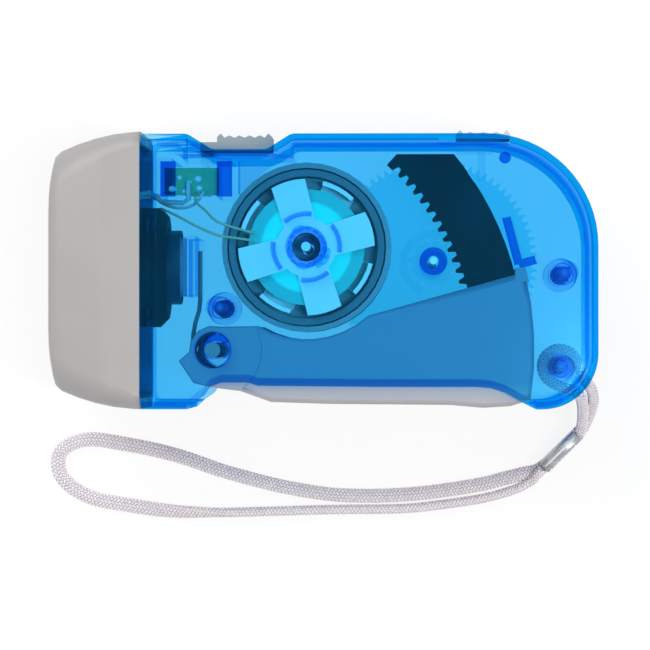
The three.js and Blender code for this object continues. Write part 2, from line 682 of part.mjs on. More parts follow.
// Openings that both halves share: lever, switch wells, strap slot and the battery window
function sharedCuts() {
  const well = KNOB_WIDTH / 2 + GAP;
  const slot = STEM_WIDTH / 2 + GAP;
  const knobSlotStart = KNOB_START - KNOB_TRAVEL - GAP;
  const corner = at(REAR - REAR_BOTTOM_ROUND, BOTTOM + REAR_BOTTOM_ROUND);
  const [slotFrom, slotTo] = [radians(STRAP_SLOT_FROM), radians(STRAP_SLOT_TO)];
  const strapSlot = [
    ...arc(corner, REAR_BOTTOM_ROUND + OVERRUN, slotFrom, slotTo, EDGE_STEPS),
    ...arc(corner, REAR_BOTTOM_ROUND - WALL - OVERRUN, slotTo, slotFrom, EDGE_STEPS),
  ];
  const windowSide = INNER_SIDE - CAVITY_ROUND;
  const [windowStart, windowEnd] = [CASE_FRONT - OVERRUN, INNER_FRONT + OVERRUN];
  const leverSide = LEVER_SIDE + GAP;
  const lockRoom = LOCK_TRAVEL + GAP;
  const lockStemEnd = LOCK_STEM_START + STEM_WIDTH;
  return [
    openingBody(0, -SIDE - OVERRUN, SIDE + OVERRUN),
    block(AXLE.x, PIVOT.x + LEVER_REACH + GAP, BOTTOM - OVERRUN, INNER_BOTTOM + TINY, -leverSide, leverSide),
    block(knobSlotStart, KNOB_END + GAP, RECESS_LEVEL, TOP + OVERRUN, -well, well),
    block(knobSlotStart, KNOB_START + STEM_LENGTH + GAP, ROOF_LEVEL - OVERRUN, TOP, -slot, slot),
    block(LOCK_START - lockRoom, LOCK_START + LOCK_LENGTH + GAP, LOCK_LEVEL, TOP + OVERRUN, -well, well),
    block(LOCK_STEM_START - lockRoom, lockStemEnd + GAP, INNER_TOP - OVERRUN, TOP, -slot, slot),
    plate(strapSlot, -STRAP_SLOT_HEIGHT / 2, STRAP_SLOT_HEIGHT / 2),
    rodAlongX(BATTERY_RISE, 0, HOLDER_RADIUS + GAP, windowStart, windowEnd),
    block(windowStart, windowEnd, -SLOT_HEIGHT / 2, SLOT_HEIGHT / 2, -windowSide, windowSide),
    rodAlongX(WIRE_HOLE_Y, 0, WIRE_HOLE_RADIUS, windowStart, windowEnd, SMALL_ROUND),
  ];
}

// Features moulded on the inside of both halves, all from the wall down to their own depth
function commonFeatures() {
  const wall = INNER_SIDE + WALL / 2;
  return [
    lip(),
    rod(PIVOT, PIVOT_BOSS_RADIUS, LEVER_SIDE + GAP, wall),
    rod(PIVOT, PIVOT_JOURNAL_RADIUS, SECTOR_FRONT, wall),
    rod(AXLE, GEAR_BOSS_RADIUS, INNER_SIDE - GEAR_BOSS_DEPTH, wall),
    block(RIB_START, RIB_START + RIB_THICKNESS, RIB_BASE, RIB_BASE + RIB_HEIGHT, SECTOR_FRONT, wall),
  ];
}

function commonBores() {
  return [
    rod(PIVOT, PIVOT_PIN_RADIUS + GAP, -OVERRUN, PIN_END + GAP, SMALL_ROUND),
    rod(AXLE, GEAR_AXLE_RADIUS + GAP, -OVERRUN, PIN_END + GAP, SMALL_ROUND),
  ];
}

function stopRib() {
  const lean = radians(STOP_RIB_LEAN);
  const reach = SECTOR_OUTER + GAP + STOP_RIB_WIDTH / 2;
  const heel = polar(PIVOT, reach, Math.asin((LEVER_TOP - PIVOT.y + STOP_RIB_WIDTH) / reach));
  const along = at(-Math.sin(lean), Math.cos(lean));
  const foot = at(Math.cos(lean), Math.sin(lean));
  const bar = (from, direction, length) => {
    const side = at(-direction.y, direction.x).multiplyScalar(STOP_RIB_WIDTH / 2);
    const end = from.clone().addScaledVector(direction, length);
    return [from.clone().sub(side), end.clone().sub(side), end.clone().add(side), from.clone().add(side)];
  };
  const [low, high] = [INNER_SIDE - STOP_RIB_DEPTH, INNER_SIDE + WALL / 2];
  return join(
    plate(bar(heel, along, STOP_RIB_LENGTH), low, high), plate(bar(heel, foot, STOP_RIB_FOOT), low, high),
  );
}

function brackets(low, high) {
  const boardEnd = SWITCH_BOARD_START + SWITCH_BOARD_LENGTH;
  const top = BRACKET_LEVEL + BRACKET_HEIGHT;
  return [SWITCH_BOARD_START - BRACKET_LAP, boardEnd - BRACKET_LAP / 2]
    .map((left) => block(left, left + BRACKET_WIDTH, BRACKET_LEVEL, top, low, high));
}

function leftCasing() {
  const wall = INNER_SIDE + WALL / 2;
  const statorRibs = Array.from({ length: STATOR_ARMS }, (_, i) => {
    const middle = radians(STATOR_TURN + (360 * i) / STATOR_ARMS);
    const half = radians(STATOR_RIB_SPAN / 2);
    const outside = STATOR_RIB_RADIUS + STATOR_RIB_THICKNESS / 2;
    const inside = STATOR_RIB_RADIUS - STATOR_RIB_THICKNESS / 2;
    return plate([
      ...arc(ROTOR, outside, middle - half, middle + half, CORNER_STEPS),
      ...arc(ROTOR, inside, middle + half, middle - half, CORNER_STEPS),
    ], STATOR_FRONT + GAP, wall);
  });
  const body = join(
    halfShell(), spigot(), ...commonFeatures(), ...statorRibs,
    ...SCREWS.slice(0, 2).map((spot) => rod(spot, BOSS_RADIUS, GAP / 2, wall)),
    rod(STRAP_BOSS, BOSS_RADIUS, STRAP_RADIUS + GAP, wall),
    rod(STRAP_BOSS, STRAP_BOSS_RADIUS, GAP / 2, wall),
    rod(ROTOR, SHAFT_BOSS_RADIUS, STATOR_FRONT + GAP, wall),
    rod(ROTOR, STAKE_RADIUS, STATOR_REAR - STATOR_SHEET - GAP, wall),
    rod(POST, POST_RADIUS, INNER_SIDE - POST_DEPTH, wall, SMALL_ROUND),
    stopRib(), ...brackets(SWITCH_BOARD_LEVEL + BOARD_THICKNESS + GAP, wall),
  );
  const screwBores = SCREWS.map((spot) => (
    rod(spot, SCREW_RADIUS + GAP, -OVERRUN, SCREW_REACH + GAP, SMALL_ROUND)
  ));
  const shaftBore = rod(ROTOR, SHAFT_RADIUS + GAP, 0, PIN_END + GAP, SMALL_ROUND);
  return cut(body, ...sharedCuts(), ...commonBores(), ...screwBores, shaftBore);
}

const mirrored = (body) => body.mirror([0, 0, 1]);

function rightCasing() {
  const wall = INNER_SIDE + WALL / 2;
  const headLevel = SIDE - SCREW_SINK;
  const gussetStart = KNOB_END - RETAINER_WIDTH;
  const gusset = [
    at(gussetStart, ROOF_LEVEL + TINY), at(gussetStart, ROOF_LEVEL - GUSSET_HEIGHT),
    at(KNOB_END, ROOF_LEVEL + TINY),
  ];
  const body = join(
    halfShell(), spigot(), ...commonFeatures(),
    ...SCREWS.map((spot) => rod(spot, BOSS_FOOT_RADIUS, INNER_SIDE - BOSS_FOOT_HEIGHT, wall)),
    ...SCREWS.slice(0, 2).map((spot) => rod(spot, BOSS_RADIUS, GAP / 2, wall)),
    rod(STRAP_BOSS, STRAP_BOSS_RADIUS, GAP / 2, wall),
    rod(ROTOR, STAKE_RADIUS, -ROTOR_GEAR_BACK + GAP, wall),
    plate(gusset, -GEAR_BACK + GEAR_SPACING, wall),
    ...brackets(-SWITCH_BOARD_LEVEL + GAP, wall),
  );
  const screwBores = SCREWS.flatMap((spot) => [
    rod(spot, SCREW_RADIUS + GAP, -OVERRUN, SIDE + OVERRUN, SMALL_ROUND),
    rod(spot, SCREW_HEAD_RADIUS + GAP, headLevel - SCREW_HEAD_HEIGHT - GAP, SIDE + OVERRUN, SMALL_ROUND),
  ]);
  const shaftBore = rod(ROTOR, SHAFT_RADIUS + GAP, 0, PIN_END + GAP, SMALL_ROUND);
  return mirrored(cut(body, ...sharedCuts(), ...commonBores(), ...screwBores, shaftBore));
}

// Head: lofted sections that shrink towards the front, as [x = height, y = thickness] outlines
function headSection(heightShare, thicknessShare, round) {
  const [high, wide] = [(heightShare * HEAD_HEIGHT) / 2, thicknessShare * SIDE];
  return [[-high, -wide], [high, -wide], [high, wide], [-high, wide]].map((spot) => [...spot, round]);
}

function turnedToX(body) {
  return body.transform(ALONG_X.toArray());
}

const headRound = (along) => THREE.MathUtils.lerp(HEAD_FRONT_ROUND, EDGE_ROUND, along);

function headLevels(inset, from) {
  return HEAD_SHARES.filter(([along]) => along >= from).map(([along, high, wide]) => [
    rounded(headSection(high, wide, headRound(along)), inset), FRONT + along * HEAD_LENGTH,
  ]);
}

function headBezel() {
  const socketEnd = LED_BASE - OVERRUN;
  const outer = headLevels(0, 0);
  outer[outer.length - 1][1] -= GAP / 2;
  const hollow = headLevels(HEAD_WALL, HOLLOW_START_SHARE);
  hollow[hollow.length - 1][1] += OVERRUN;
  const lensSeat = FRONT + BEZEL_LIP;
  const socket = rodAlongX(0, 0, LENS_RADIUS + GAP + SOCKET_WALL, FRONT, socketEnd, BIG_ROUND);
  return cut(
    turnedToX(loft(outer)), cut(turnedToX(loft(hollow)), socket),
    rodAlongX(0, 0, LENS_RADIUS + GAP, lensSeat, LED_BASE, BIG_ROUND),
    rodAlongX(0, 0, LENS_RADIUS - BEZEL_LIP_WIDTH, FRONT - OVERRUN, lensSeat + OVERRUN, BIG_ROUND),
  );
}

function lens() {
  const front = FRONT + BEZEL_LIP + GAP;
  return rodAlongX(0, 0, LENS_RADIUS, front, front + LENS_THICKNESS, BIG_ROUND);
}

// Reflector: a dish with a flat floor and a hole for each lamp
function reflector() {
  const rim = FRONT + BEZEL_LIP + LENS_THICKNESS + 2 * GAP;
  const floor = rim + REFLECTOR_DEPTH;
  const mouth = LENS_RADIUS - REFLECTOR_SKIN;
  const dish = Array.from({ length: CORNER_STEPS + 1 }, (_, i) => {
    const share = i / CORNER_STEPS;
    const radius = THREE.MathUtils.lerp(REFLECTOR_FLOOR, mouth - REFLECTOR_SKIN, share);
    return [radius, floor - REFLECTOR_DEPTH * share * share];
  });
  const back = dish.map(([radius, level]) => [radius + REFLECTOR_SKIN, level + REFLECTOR_SKIN]).reverse();
  const behind = floor + REFLECTOR_SKIN;
  const bowl = turnedAlongX([
    [0, floor], ...dish, [LENS_RADIUS, rim], [LENS_RADIUS, rim + REFLECTOR_SKIN],
    ...back.slice(0, -1), [REFLECTOR_FLOOR, behind], [0, behind],
  ], 0, 0, BIG_ROUND);
  const holes = ledSpots().map(({ x, y }) => (
    rodAlongX(x, y, LED_RADIUS + GAP, floor - OVERRUN, floor + REFLECTOR_SKIN + OVERRUN, SMALL_ROUND)
  ));
  return cut(bowl, ...holes);
}

const ledSpots = () => circle(at(0, 0), LED_CIRCLE, LED_COUNT);

function led({ x, y }) {
  const tip = LED_BASE - LED_FLANGE_DEPTH - LED_LENGTH;
  const dome = Array.from({ length: CORNER_STEPS + 1 }, (_, i) => {
    const angle = (Math.PI / 2) * (i / CORNER_STEPS);
    return [LED_RADIUS * Math.sin(angle), tip + LED_RADIUS * (1 - Math.cos(angle))];
  });
  const flange = LED_BASE - LED_FLANGE_DEPTH;
  return turnedAlongX([...dome, [LED_RADIUS, flange], [LED_RADIUS + LED_FLANGE, flange],
    [LED_RADIUS + LED_FLANGE, LED_BASE], [0, LED_BASE]], x, y, SMALL_ROUND);
}

const ledBoard = () => rodAlongX(0, 0, LED_BOARD_RADIUS, LED_BASE + GAP, LED_BOARD_BACK);

// Battery: three button cells in a shrink sleeve, held in a round cup
function batteryHolder() {
  const [start, end] = [LED_BOARD_BACK + GAP, LED_BOARD_BACK + GAP + HOLDER_LENGTH];
  const bore = SLEEVE_RADIUS + GAP;
  return turnedAlongX([[bore, start], [HOLDER_RADIUS, start], [HOLDER_RADIUS, end - HOLDER_TAPER],
    [HOLDER_RADIUS - HOLDER_TAPER, end], [bore, end], [bore, start]], BATTERY_RISE, 0, ROUND);
}

function batteryCell(index) {
  const start = BATTERY_START + GAP + index * (CELL_THICKNESS + GAP);
  const end = start + CELL_THICKNESS;
  return turnedAlongX([[0, start], [CELL_RADIUS - CELL_ROUND, start], [CELL_RADIUS, start + CELL_ROUND],
    [CELL_RADIUS, end - CELL_ROUND], [CELL_RADIUS - CELL_ROUND, end], [0, end]], BATTERY_RISE, 0, ROUND);
}

function batterySleeve() {
  const bore = SLEEVE_RADIUS - SLEEVE_SKIN;
  return turnedAlongX([[bore, BATTERY_START], [SLEEVE_RADIUS, BATTERY_START], [SLEEVE_RADIUS, BATTERY_END],
    [bore, BATTERY_END], [bore, BATTERY_START]], BATTERY_RISE, 0, ROUND);
}

function contactStrip() {
  const left = BATTERY_END + GAP;
  const side = CONTACT_WIDTH / 2;
  return block(left, left + CONTACT_THICKNESS, RIB_BASE, RIB_BASE + RIB_HEIGHT, -side, side);
}

// Lever: a trough with two side plates that turn on the pivot journals
function leverOutline() {
  const spot = ([x, y]) => at(PIVOT.x + x * LEVER_REACH, PIVOT.y + y * LEVER_REACH);
  const under = LEVER_UNDER_SHARES.map(spot);
  const rearLow = Math.asin((under[under.length - 1].y - PIVOT.y + LEVER_REAR_WALL) / LEVER_REACH);
  const rearHigh = Math.asin((LEVER_TOP - PIVOT.y) / LEVER_REACH);
  const arch = FLYWHEEL_RADIUS + FLYWHEEL_ROOM;
  const [archFrom, archTo] = ARCH_ANGLES.map(radians);
  const [hubFrom, hubTo] = HUB_ANGLES.map(radians);
  const hub = PIVOT_JOURNAL_RADIUS + GAP + LEVER_HUB_WALL;
  return [
    ...under,
    ...arc(PIVOT, LEVER_REACH, rearLow, rearHigh, CORNER_STEPS),
    ...arc(ROTOR, arch, archFrom, archTo, 2 * CORNER_STEPS),
    ...arc(PIVOT, hub, hubFrom, hubTo, CORNER_STEPS),
    spot(LEVER_HEEL_SHARE),
  ];
}

function leverHollow() {
  const spot = ([x, y]) => at(PIVOT.x + x * LEVER_REACH, PIVOT.y + y * LEVER_REACH + LEVER_WALL);
  const web = LEVER_UNDER_SHARES.map(spot);
  const inside = LEVER_REACH - LEVER_REAR_WALL;
  const low = Math.asin((web[web.length - 1].y - PIVOT.y) / inside);
  const high = Math.asin((LEVER_TOP + LEVER_TAB_RISE + OVERRUN - PIVOT.y) / inside);
  const front = at(PIVOT.x - SPRING_LEG, web[0].y);
  const rear = arc(PIVOT, inside, low, high, CORNER_STEPS);
  return plate(
    [front, ...web.slice(0, -1), ...rear, at(front.x, rear[CORNER_STEPS].y + FLYWHEEL_RADIUS)],
    -LEVER_INNER, LEVER_INNER,
  );
}

// The rear wall is slotted where the drive gear reaches through it
function leverGearSlot() {
  const wall = LEVER_REACH - LEVER_REAR_WALL;
  const gear = DRIVE_PITCH + GEAR_MODULE + GAP;
  const apart = SECTOR_PITCH - PINION_PITCH;
  const spread = Math.acos((wall ** 2 + apart ** 2 - gear ** 2) / (2 * wall * apart));
  const low = polar(PIVOT, wall, radians(GEAR_LINE) - spread).y - GAP;
  return block(AXLE.x, REAR, low, AXLE.y + gear, GEAR_BACK - 2 * GAP, GEAR_FRONT + 2 * GAP);
}

function lever() {
  const shape = new THREE.Shape(leverOutline());
  const body = solid(new THREE.ExtrudeGeometry(shape, {
    depth: 2 * (LEVER_SIDE - LEVER_EDGE_ROUND), steps: 1, bevelThickness: LEVER_EDGE_ROUND,
    bevelSize: LEVER_EDGE_ROUND, bevelOffset: -LEVER_EDGE_ROUND, bevelSegments: 3,
  }).translate(0, 0, LEVER_EDGE_ROUND - LEVER_SIDE));
  const tabStart = LEVER_REACH - LEVER_TAB;
  const tabAngle = Math.asin((LEVER_TOP - PIVOT.y) / LEVER_REACH);
  const corner = polar(PIVOT, tabStart, tabAngle);
  const tab = rod(PIVOT, LEVER_REACH + GAP, -LEVER_SIDE, LEVER_SIDE, FINE_ROUND).intersect(block(
    corner.x, REAR, LEVER_TOP - LEVER_TAB, LEVER_TOP + LEVER_TAB_RISE - GAP, -LEVER_SIDE, LEVER_SIDE,
  ));
  const recess = rod(PIVOT, LEVER_HUB_REACH, LEVER_SIDE - LEVER_HUB_RECESS, SIDE, BIG_ROUND);
  const recesses = [recess, mirrored(recess)];
  const bore = rod(PIVOT, PIVOT_JOURNAL_RADIUS + GAP, -SIDE, SIDE);
  return cut(join(body, tab), leverHollow(), bore, leverGearSlot(), ...recesses);
}

// Sector: an inner gear on an arm of the lever, with a slot near its edge for the lock
function sectorGear() {
  const half = (radius) => halfAngle(radius, SECTOR_PITCH, (Math.PI * SECTOR_MODULE) / 2 + BACKLASH);
  const tip = SECTOR_PITCH - SECTOR_ADDENDUM_SHARE * SECTOR_MODULE;
  const root = SECTOR_PITCH + (SECTOR_ADDENDUM_SHARE + ROOT_CLEARANCE_SHARE) * SECTOR_MODULE;
  const step = (2 * Math.PI) / SECTOR_TEETH;
  const first = radians(GEAR_LINE) - SECTOR_TEETH_BELOW * step;
  const length = SECTOR_TEETH_BELOW + SECTOR_TEETH_ABOVE + 1;
  const spaces = Array.from({ length }, (_, i) => first + i * step);
  const teeth = spaces.flatMap((middle) => [
    polar(PIVOT, tip, middle - half(tip)), polar(PIVOT, SECTOR_PITCH, middle - half(SECTOR_PITCH)),
    polar(PIVOT, root, middle - half(root)), polar(PIVOT, root, middle + half(root)),
    polar(PIVOT, SECTOR_PITCH, middle + half(SECTOR_PITCH)), polar(PIVOT, tip, middle + half(tip)),
  ]);
  const footLevel = PIVOT.y + LEVER_FLOOR_SHARE * LEVER_REACH + LEVER_WALL + 2 * GAP;
  const footAngle = Math.asin((footLevel - PIVOT.y) / SECTOR_OUTER);
  const end = first + spaces.length * step;
  const rim = plate([
    ...arc(PIVOT, root, footAngle, first - step, CORNER_STEPS), ...teeth, polar(PIVOT, tip, end),
    ...arc(PIVOT, SECTOR_OUTER, end, footAngle, 2 * LONG_CORNER_STEPS),
  ], SECTOR_BACK, SECTOR_FRONT);
  const footEnd = polar(PIVOT, SECTOR_OUTER, footAngle).x - SECTOR_BAR_RADIUS;
  const footStart = footEnd - SECTOR_FOOT_LENGTH;
  const foot = plate([
    at(footStart, footLevel), at(footEnd, footLevel), at(footEnd, footLevel + SECTOR_FOOT_HEIGHT * 2),
    at(footEnd - SECTOR_FOOT_LENGTH / 2, footLevel + SECTOR_FOOT_HEIGHT),
    at(footStart, footLevel + SECTOR_FOOT_HEIGHT),
  ], SECTOR_BACK, SECTOR_FRONT);
  const barLevel = footLevel + SECTOR_BAR_RADIUS;
  const bars = [footStart + SECTOR_BAR_RADIUS + GAP, footEnd - SECTOR_BAR_RADIUS - GAP].map((x) => (
    rod(at(x, barLevel), SECTOR_BAR_RADIUS, GAP - LEVER_INNER, LEVER_INNER - GAP, SMALL_ROUND)
  ));
  const roof = block(PIVOT.x, REAR, LOCK_PLATE_LEVEL - GAP, TOP + SIDE, -SIDE, SIDE);
  const slot = block(
    PEG_START - LOCK_TRAVEL - GAP, REAR, PEG_LEVEL - GAP, PEG_LEVEL + LOCK_PEG_HEIGHT + GAP,
    SECTOR_FRONT - LOCK_PEG_DEPTH - GAP, SIDE,
  );
  return cut(join(rim, foot, ...bars), roof, slot);
}

// Drive pinion with a ratchet wheel on its underside, and the drive gear with the pawl that it turns
function drivePinion() {
  const outline = gearOutline(PINION_TEETH, SECTOR_MODULE, radians(GEAR_LINE));
  const bore = circle(at(0, 0), GEAR_AXLE_RADIUS + GAP, SMALL_ROUND);
  const teeth = plate(outline, SECTOR_BACK - GAP, SECTOR_FRONT + GAP, [bore]);
  const tip = RATCHET_RADIUS;
  const saw = Array.from({ length: RATCHET_TEETH }, (_, i) => {
    const from = (2 * Math.PI * i) / RATCHET_TEETH;
    const to = from + (2 * Math.PI) / RATCHET_TEETH;
    return [polar(at(0, 0), tip - RATCHET_DEPTH, from), polar(at(0, 0), tip, to - radians(RATCHET_RELIEF))];
  }).flat();
  return join(teeth, plate(saw, SECTOR_BACK - GAP - RATCHET_THICKNESS, SECTOR_BACK, [bore]));
}

function driveGear() {
  const firstTooth = radians(ROTOR_LINE) + Math.PI / DRIVE_TEETH;
  const bore = circle(at(0, 0), GEAR_AXLE_RADIUS + GAP, SMALL_ROUND);
  const wheel = plate(gearOutline(DRIVE_TEETH, GEAR_MODULE, firstTooth), GEAR_BACK, GEAR_FRONT, [bore]);
  const centre = at(0, 0);
  const hubStart = GEAR_BOSS_DEPTH - INNER_SIDE + GAP;
  const webStart = GEAR_FRONT - GEAR_WEB;
  const hollow = tube(centre, DRIVE_PITCH - GEAR_RIM, GEAR_HUB_RADIUS, GEAR_BACK - OVERRUN, webStart);
  const hub = tube(centre, GEAR_HUB_RADIUS, GEAR_AXLE_RADIUS + GAP, hubStart, GEAR_BACK + TINY);
  return join(cut(wheel, hollow), hub);
}

// A springy arm that lies round the ratchet wheel, fixed to the drive gear by its post
function ratchetPawl() {
  const inside = RATCHET_RADIUS + GAP;
  const [from, to] = PAWL_ANGLES.map(radians);
  return plate([
    ...arc(at(0, 0), inside + PAWL_WIDTH, from, to, 2 * CORNER_STEPS),
    ...arc(at(0, 0), inside, to, from, 2 * CORNER_STEPS),
  ], GEAR_FRONT + GAP, SECTOR_BACK - 2 * GAP);
}

// Flywheel generator
function flywheel() {
  const [bore, inside] = [SHAFT_RADIUS + GAP, FLYWHEEL_RADIUS - FLYWHEEL_SKIN];
  const [boss, floor] = [FLYWHEEL_BACK - GAP, FLYWHEEL_BACK + FLYWHEEL_WEB];
  return turned([
    [bore, boss], [FLYWHEEL_HUB_RADIUS, boss], [FLYWHEEL_HUB_RADIUS, FLYWHEEL_BACK], [inside, FLYWHEEL_BACK],
    [FLYWHEEL_RADIUS, FLYWHEEL_BACK + FLYWHEEL_SKIN], [FLYWHEEL_RADIUS, FLYWHEEL_FRONT],
    [inside, FLYWHEEL_FRONT], [inside, floor], [bore, floor], [bore, boss],
  ], at(0, 0), BIG_ROUND);
}

function ringMagnet() {
  const [low, high] = [FLYWHEEL_BACK + FLYWHEEL_WEB + GAP, FLYWHEEL_FRONT - GAP];
  return tube(at(0, 0), MAGNET_OUTER, MAGNET_INNER, low, high, BIG_ROUND);
}

function rotorPinion() {
  const bore = circle(at(0, 0), SHAFT_RADIUS + GAP, SMALL_ROUND);
  const outline = gearOutline(ROTOR_TEETH, GEAR_MODULE, radians(ROTOR_LINE) + Math.PI);
  return plate(outline, ROTOR_GEAR_BACK, ROTOR_GEAR_FRONT, [bore]);
}

const rotorShaft = () => rod(at(0, 0), SHAFT_RADIUS, -PIN_END, PIN_END, SMALL_ROUND);

// A stator plate: a disc with arms whose ends are bent over into claws
function statorPlate(turn, low, high, clawLow, clawHigh) {
  const sheet = rod(at(0, 0), STATOR_DISC_RADIUS, low, high);
  const arms = Array.from({ length: STATOR_ARMS }, (_, i) => {
    const middle = radians(turn + (360 * i) / STATOR_ARMS);
    const [inner, outer] = [STATOR_ARM_WIDTH / 2, STATOR_ARM_WIDTH / 2 + STATOR_ARM_FLARE];
    const half = Math.asin(outer / CLAW_RADIUS);
    const root = at(0, 0);
    const side = at(-Math.sin(middle), Math.cos(middle));
    const tips = arc(root, CLAW_RADIUS, middle - half, middle + half, CORNER_STEPS);
    const arm = plate([
      root.clone().addScaledVector(side, -inner), ...tips, root.clone().addScaledVector(side, inner),
    ], low, high);
    const claw = plate([
      ...tips, ...arc(root, CLAW_RADIUS - STATOR_SHEET, middle + half, middle - half, CORNER_STEPS),
    ], clawLow, clawHigh);
    return join(arm, claw);
  });
  const bore = rod(at(0, 0), STAKE_RADIUS + GAP, low - OVERRUN, high + OVERRUN, SMALL_ROUND);
  return cut(join(sheet, ...arms), bore);
}

const frontStator = () => (
  statorPlate(STATOR_TURN, STATOR_BACK, STATOR_FRONT, STATOR_REAR + GAP, STATOR_FRONT)
);

function backStator() {
  const turn = STATOR_TURN + 180 / STATOR_ARMS;
  const low = STATOR_REAR - STATOR_SHEET;
  return statorPlate(turn, low, STATOR_REAR, low, STATOR_BACK - GAP);
}

function statorCore() {
  return tube(at(0, 0), CORE_RADIUS, STAKE_RADIUS + GAP, STATOR_REAR + GAP, STATOR_BACK - GAP);
}

function coilBobbin() {
  const [low, high, bore] = [STATOR_REAR + GAP, STATOR_BACK - GAP, CORE_RADIUS + GAP];
  const drum = bore + BOBBIN_SKIN;
  return turned([
    [bore, low], [BOBBIN_RADIUS, low], [BOBBIN_RADIUS, low + BOBBIN_SKIN], [drum, low + BOBBIN_SKIN],
    [drum, high - BOBBIN_SKIN], [BOBBIN_RADIUS, high - BOBBIN_SKIN], [BOBBIN_RADIUS, high],
    [bore, high], [bore, low],
  ], at(0, 0));
}

function coilWinding() {
  const [low, high] = [STATOR_REAR + BOBBIN_SKIN + 2 * GAP, STATOR_BACK - BOBBIN_SKIN - 2 * GAP];
  return tube(at(0, 0), COIL_RADIUS, CORE_RADIUS + BOBBIN_SKIN + 2 * GAP, low, high);
}

// Return spring: curls round the pivot journal, one leg up the rib and one in the lever
function springPoints() {
  const radius = PIVOT_JOURNAL_RADIUS + GAP + SPRING_WIRE_RADIUS;
  const high = LEVER_INNER - GAP - SPRING_WIRE_RADIUS;
  const turn = 2 * Math.PI * SPRING_CURLS;
  const steps = Math.round(SPRING_STEPS * SPRING_CURLS);
  const curls = Array.from({ length: steps + 1 }, (_, i) => {
    const spot = polar(PIVOT, radius, Math.PI + (turn * i) / steps);
    return new THREE.Vector3(spot.x, spot.y, high - (SPRING_PITCH * SPRING_CURLS * i) / steps);
  });
  const legSide = RIB_START + RIB_THICKNESS + GAP + SPRING_WIRE_RADIUS;
  const fixed = SPRING_LEG_SHARES.map(([up, over]) => new THREE.Vector3(
    THREE.MathUtils.lerp(PIVOT.x - radius, legSide, over), PIVOT.y + up * SPRING_LEG, high,
  ));
  const last = curls[curls.length - 1];
  const free = new THREE.Vector3(last.x, last.y, last.z);
  free.x += SPRING_REST * Math.cos(radians(SPRING_REST_DROP));
  free.y -= SPRING_REST * Math.sin(radians(SPRING_REST_DROP));
  return [...fixed, ...curls, free];
}

// The least gap between two places of a wire that lie further apart along it than a given length
function leastGap(points, radius, apart) {
  const fine = points.slice(1).flatMap((point, i) => (
    GAP_STEPS.map((share) => points[i].clone().lerp(point, share))
  ));
  const walked = [0];
  fine.slice(1).forEach((point, i) => walked.push(walked[i] + point.distanceTo(fine[i])));
  let least = Infinity;
  for (let i = 0; i < fine.length; i += 1) {
    for (let k = i + 1; k < fine.length; k += 1) {
      if (walked[k] - walked[i] > apart) least = Math.min(least, fine[i].distanceTo(fine[k]));
    }
  }
  return least - 2 * radius;
}

function returnSpring() {
  const points = springPoints();
  const gap = leastGap(points, SPRING_WIRE_RADIUS, Math.PI * PIVOT_JOURNAL_RADIUS);
  console.log(`return spring: least gap to itself, measured on its points, ${gap.toFixed(2)} mm`);
  return wireAlong(points, SPRING_WIRE_RADIUS, SPRING_SIDES);
}

const pivotPin = () => rod(PIVOT, PIVOT_PIN_RADIUS, -PIN_END, PIN_END, SMALL_ROUND);
const gearAxle = () => rod(AXLE, GEAR_AXLE_RADIUS, -PIN_END, PIN_END, SMALL_ROUND);

function screw({ x, y }) {
  const head = SCREW_SINK - SIDE;
  const top = head + SCREW_HEAD_HEIGHT;
  const body = turned([
    [0, head], [SCREW_HEAD_RADIUS, head], [SCREW_HEAD_RADIUS, top - SCREW_RADIUS / 2], [SCREW_RADIUS, top],
    [SCREW_RADIUS, SCREW_REACH - SCREW_RADIUS], [0, SCREW_REACH],
  ], at(x, y), SMALL_ROUND);
  const arm = SCREW_HEAD_RADIUS * SCREW_SLOT_SHARE;
  const blade = SCREW_HEAD_RADIUS * SCREW_BLADE_SHARE;
  const sunk = head + SCREW_HEAD_HEIGHT / 2;
  return cut(body, block(x - arm, x + arm, y - blade, y + blade, head - OVERRUN, sunk),
    block(x - blade, x + blade, y - arm, y + arm, head - OVERRUN, sunk));
}

// Switch: a board, a slide switch on it, the slider, and the ribbed knob in the recess
function switchBoard() {
  const [end, top] = [SWITCH_BOARD_START + SWITCH_BOARD_LENGTH, SWITCH_BOARD_BASE + SWITCH_BOARD_HEIGHT];
  const back = SWITCH_BOARD_LEVEL + BOARD_THICKNESS;
  return block(SWITCH_BOARD_START, end, SWITCH_BOARD_BASE, top, SWITCH_BOARD_LEVEL, back);
}

function switchBody() {
  const high = SWITCH_BOARD_LEVEL - GAP;
  const [end, top] = [SWITCH_START + SWITCH_BODY_LENGTH, SWITCH_BOARD_BASE + SWITCH_BOARD_HEIGHT];
  return block(SWITCH_START, end, SWITCH_BOARD_BASE, top, high - SWITCH_BODY_DEPTH, high);
}

function switchSlider() {
  const base = SWITCH_BOARD_BASE + SWITCH_BOARD_HEIGHT + GAP;
  const middle = KNOB_START + STEM_LENGTH / 2;
  const top = ROOF_LEVEL - 3 * GAP;
  return block(middle - SWITCH_NUB / 2, middle + SWITCH_NUB / 2, base, top, -SWITCH_NUB, SWITCH_NUB);
}

// A thumb piece: a row of rounded ribs between two pads, as an outline from rear to front
function thumbOutline(start, end, base, top, ribs, padLength) {
  const step = (end - start - 2 * padLength) / (2 * ribs);
  const teeth = Array.from({ length: 2 * ribs + 1 }, (_, i) => (
    at(end - padLength - i * step, i % 2 === 0 ? top - KNOB_RIB_DEPTH - KNOB_PAD_RISE : top - KNOB_PAD_RISE)
  ));
  const round = KNOB_PAD_RISE * 2;
  return [
    at(start, base), at(end, base), at(end, top - round), at(end - round, top),
    at(end - padLength + round, top), ...teeth, at(start + padLength - round, top), at(start + round, top),
    at(start, top - round),
  ];
}

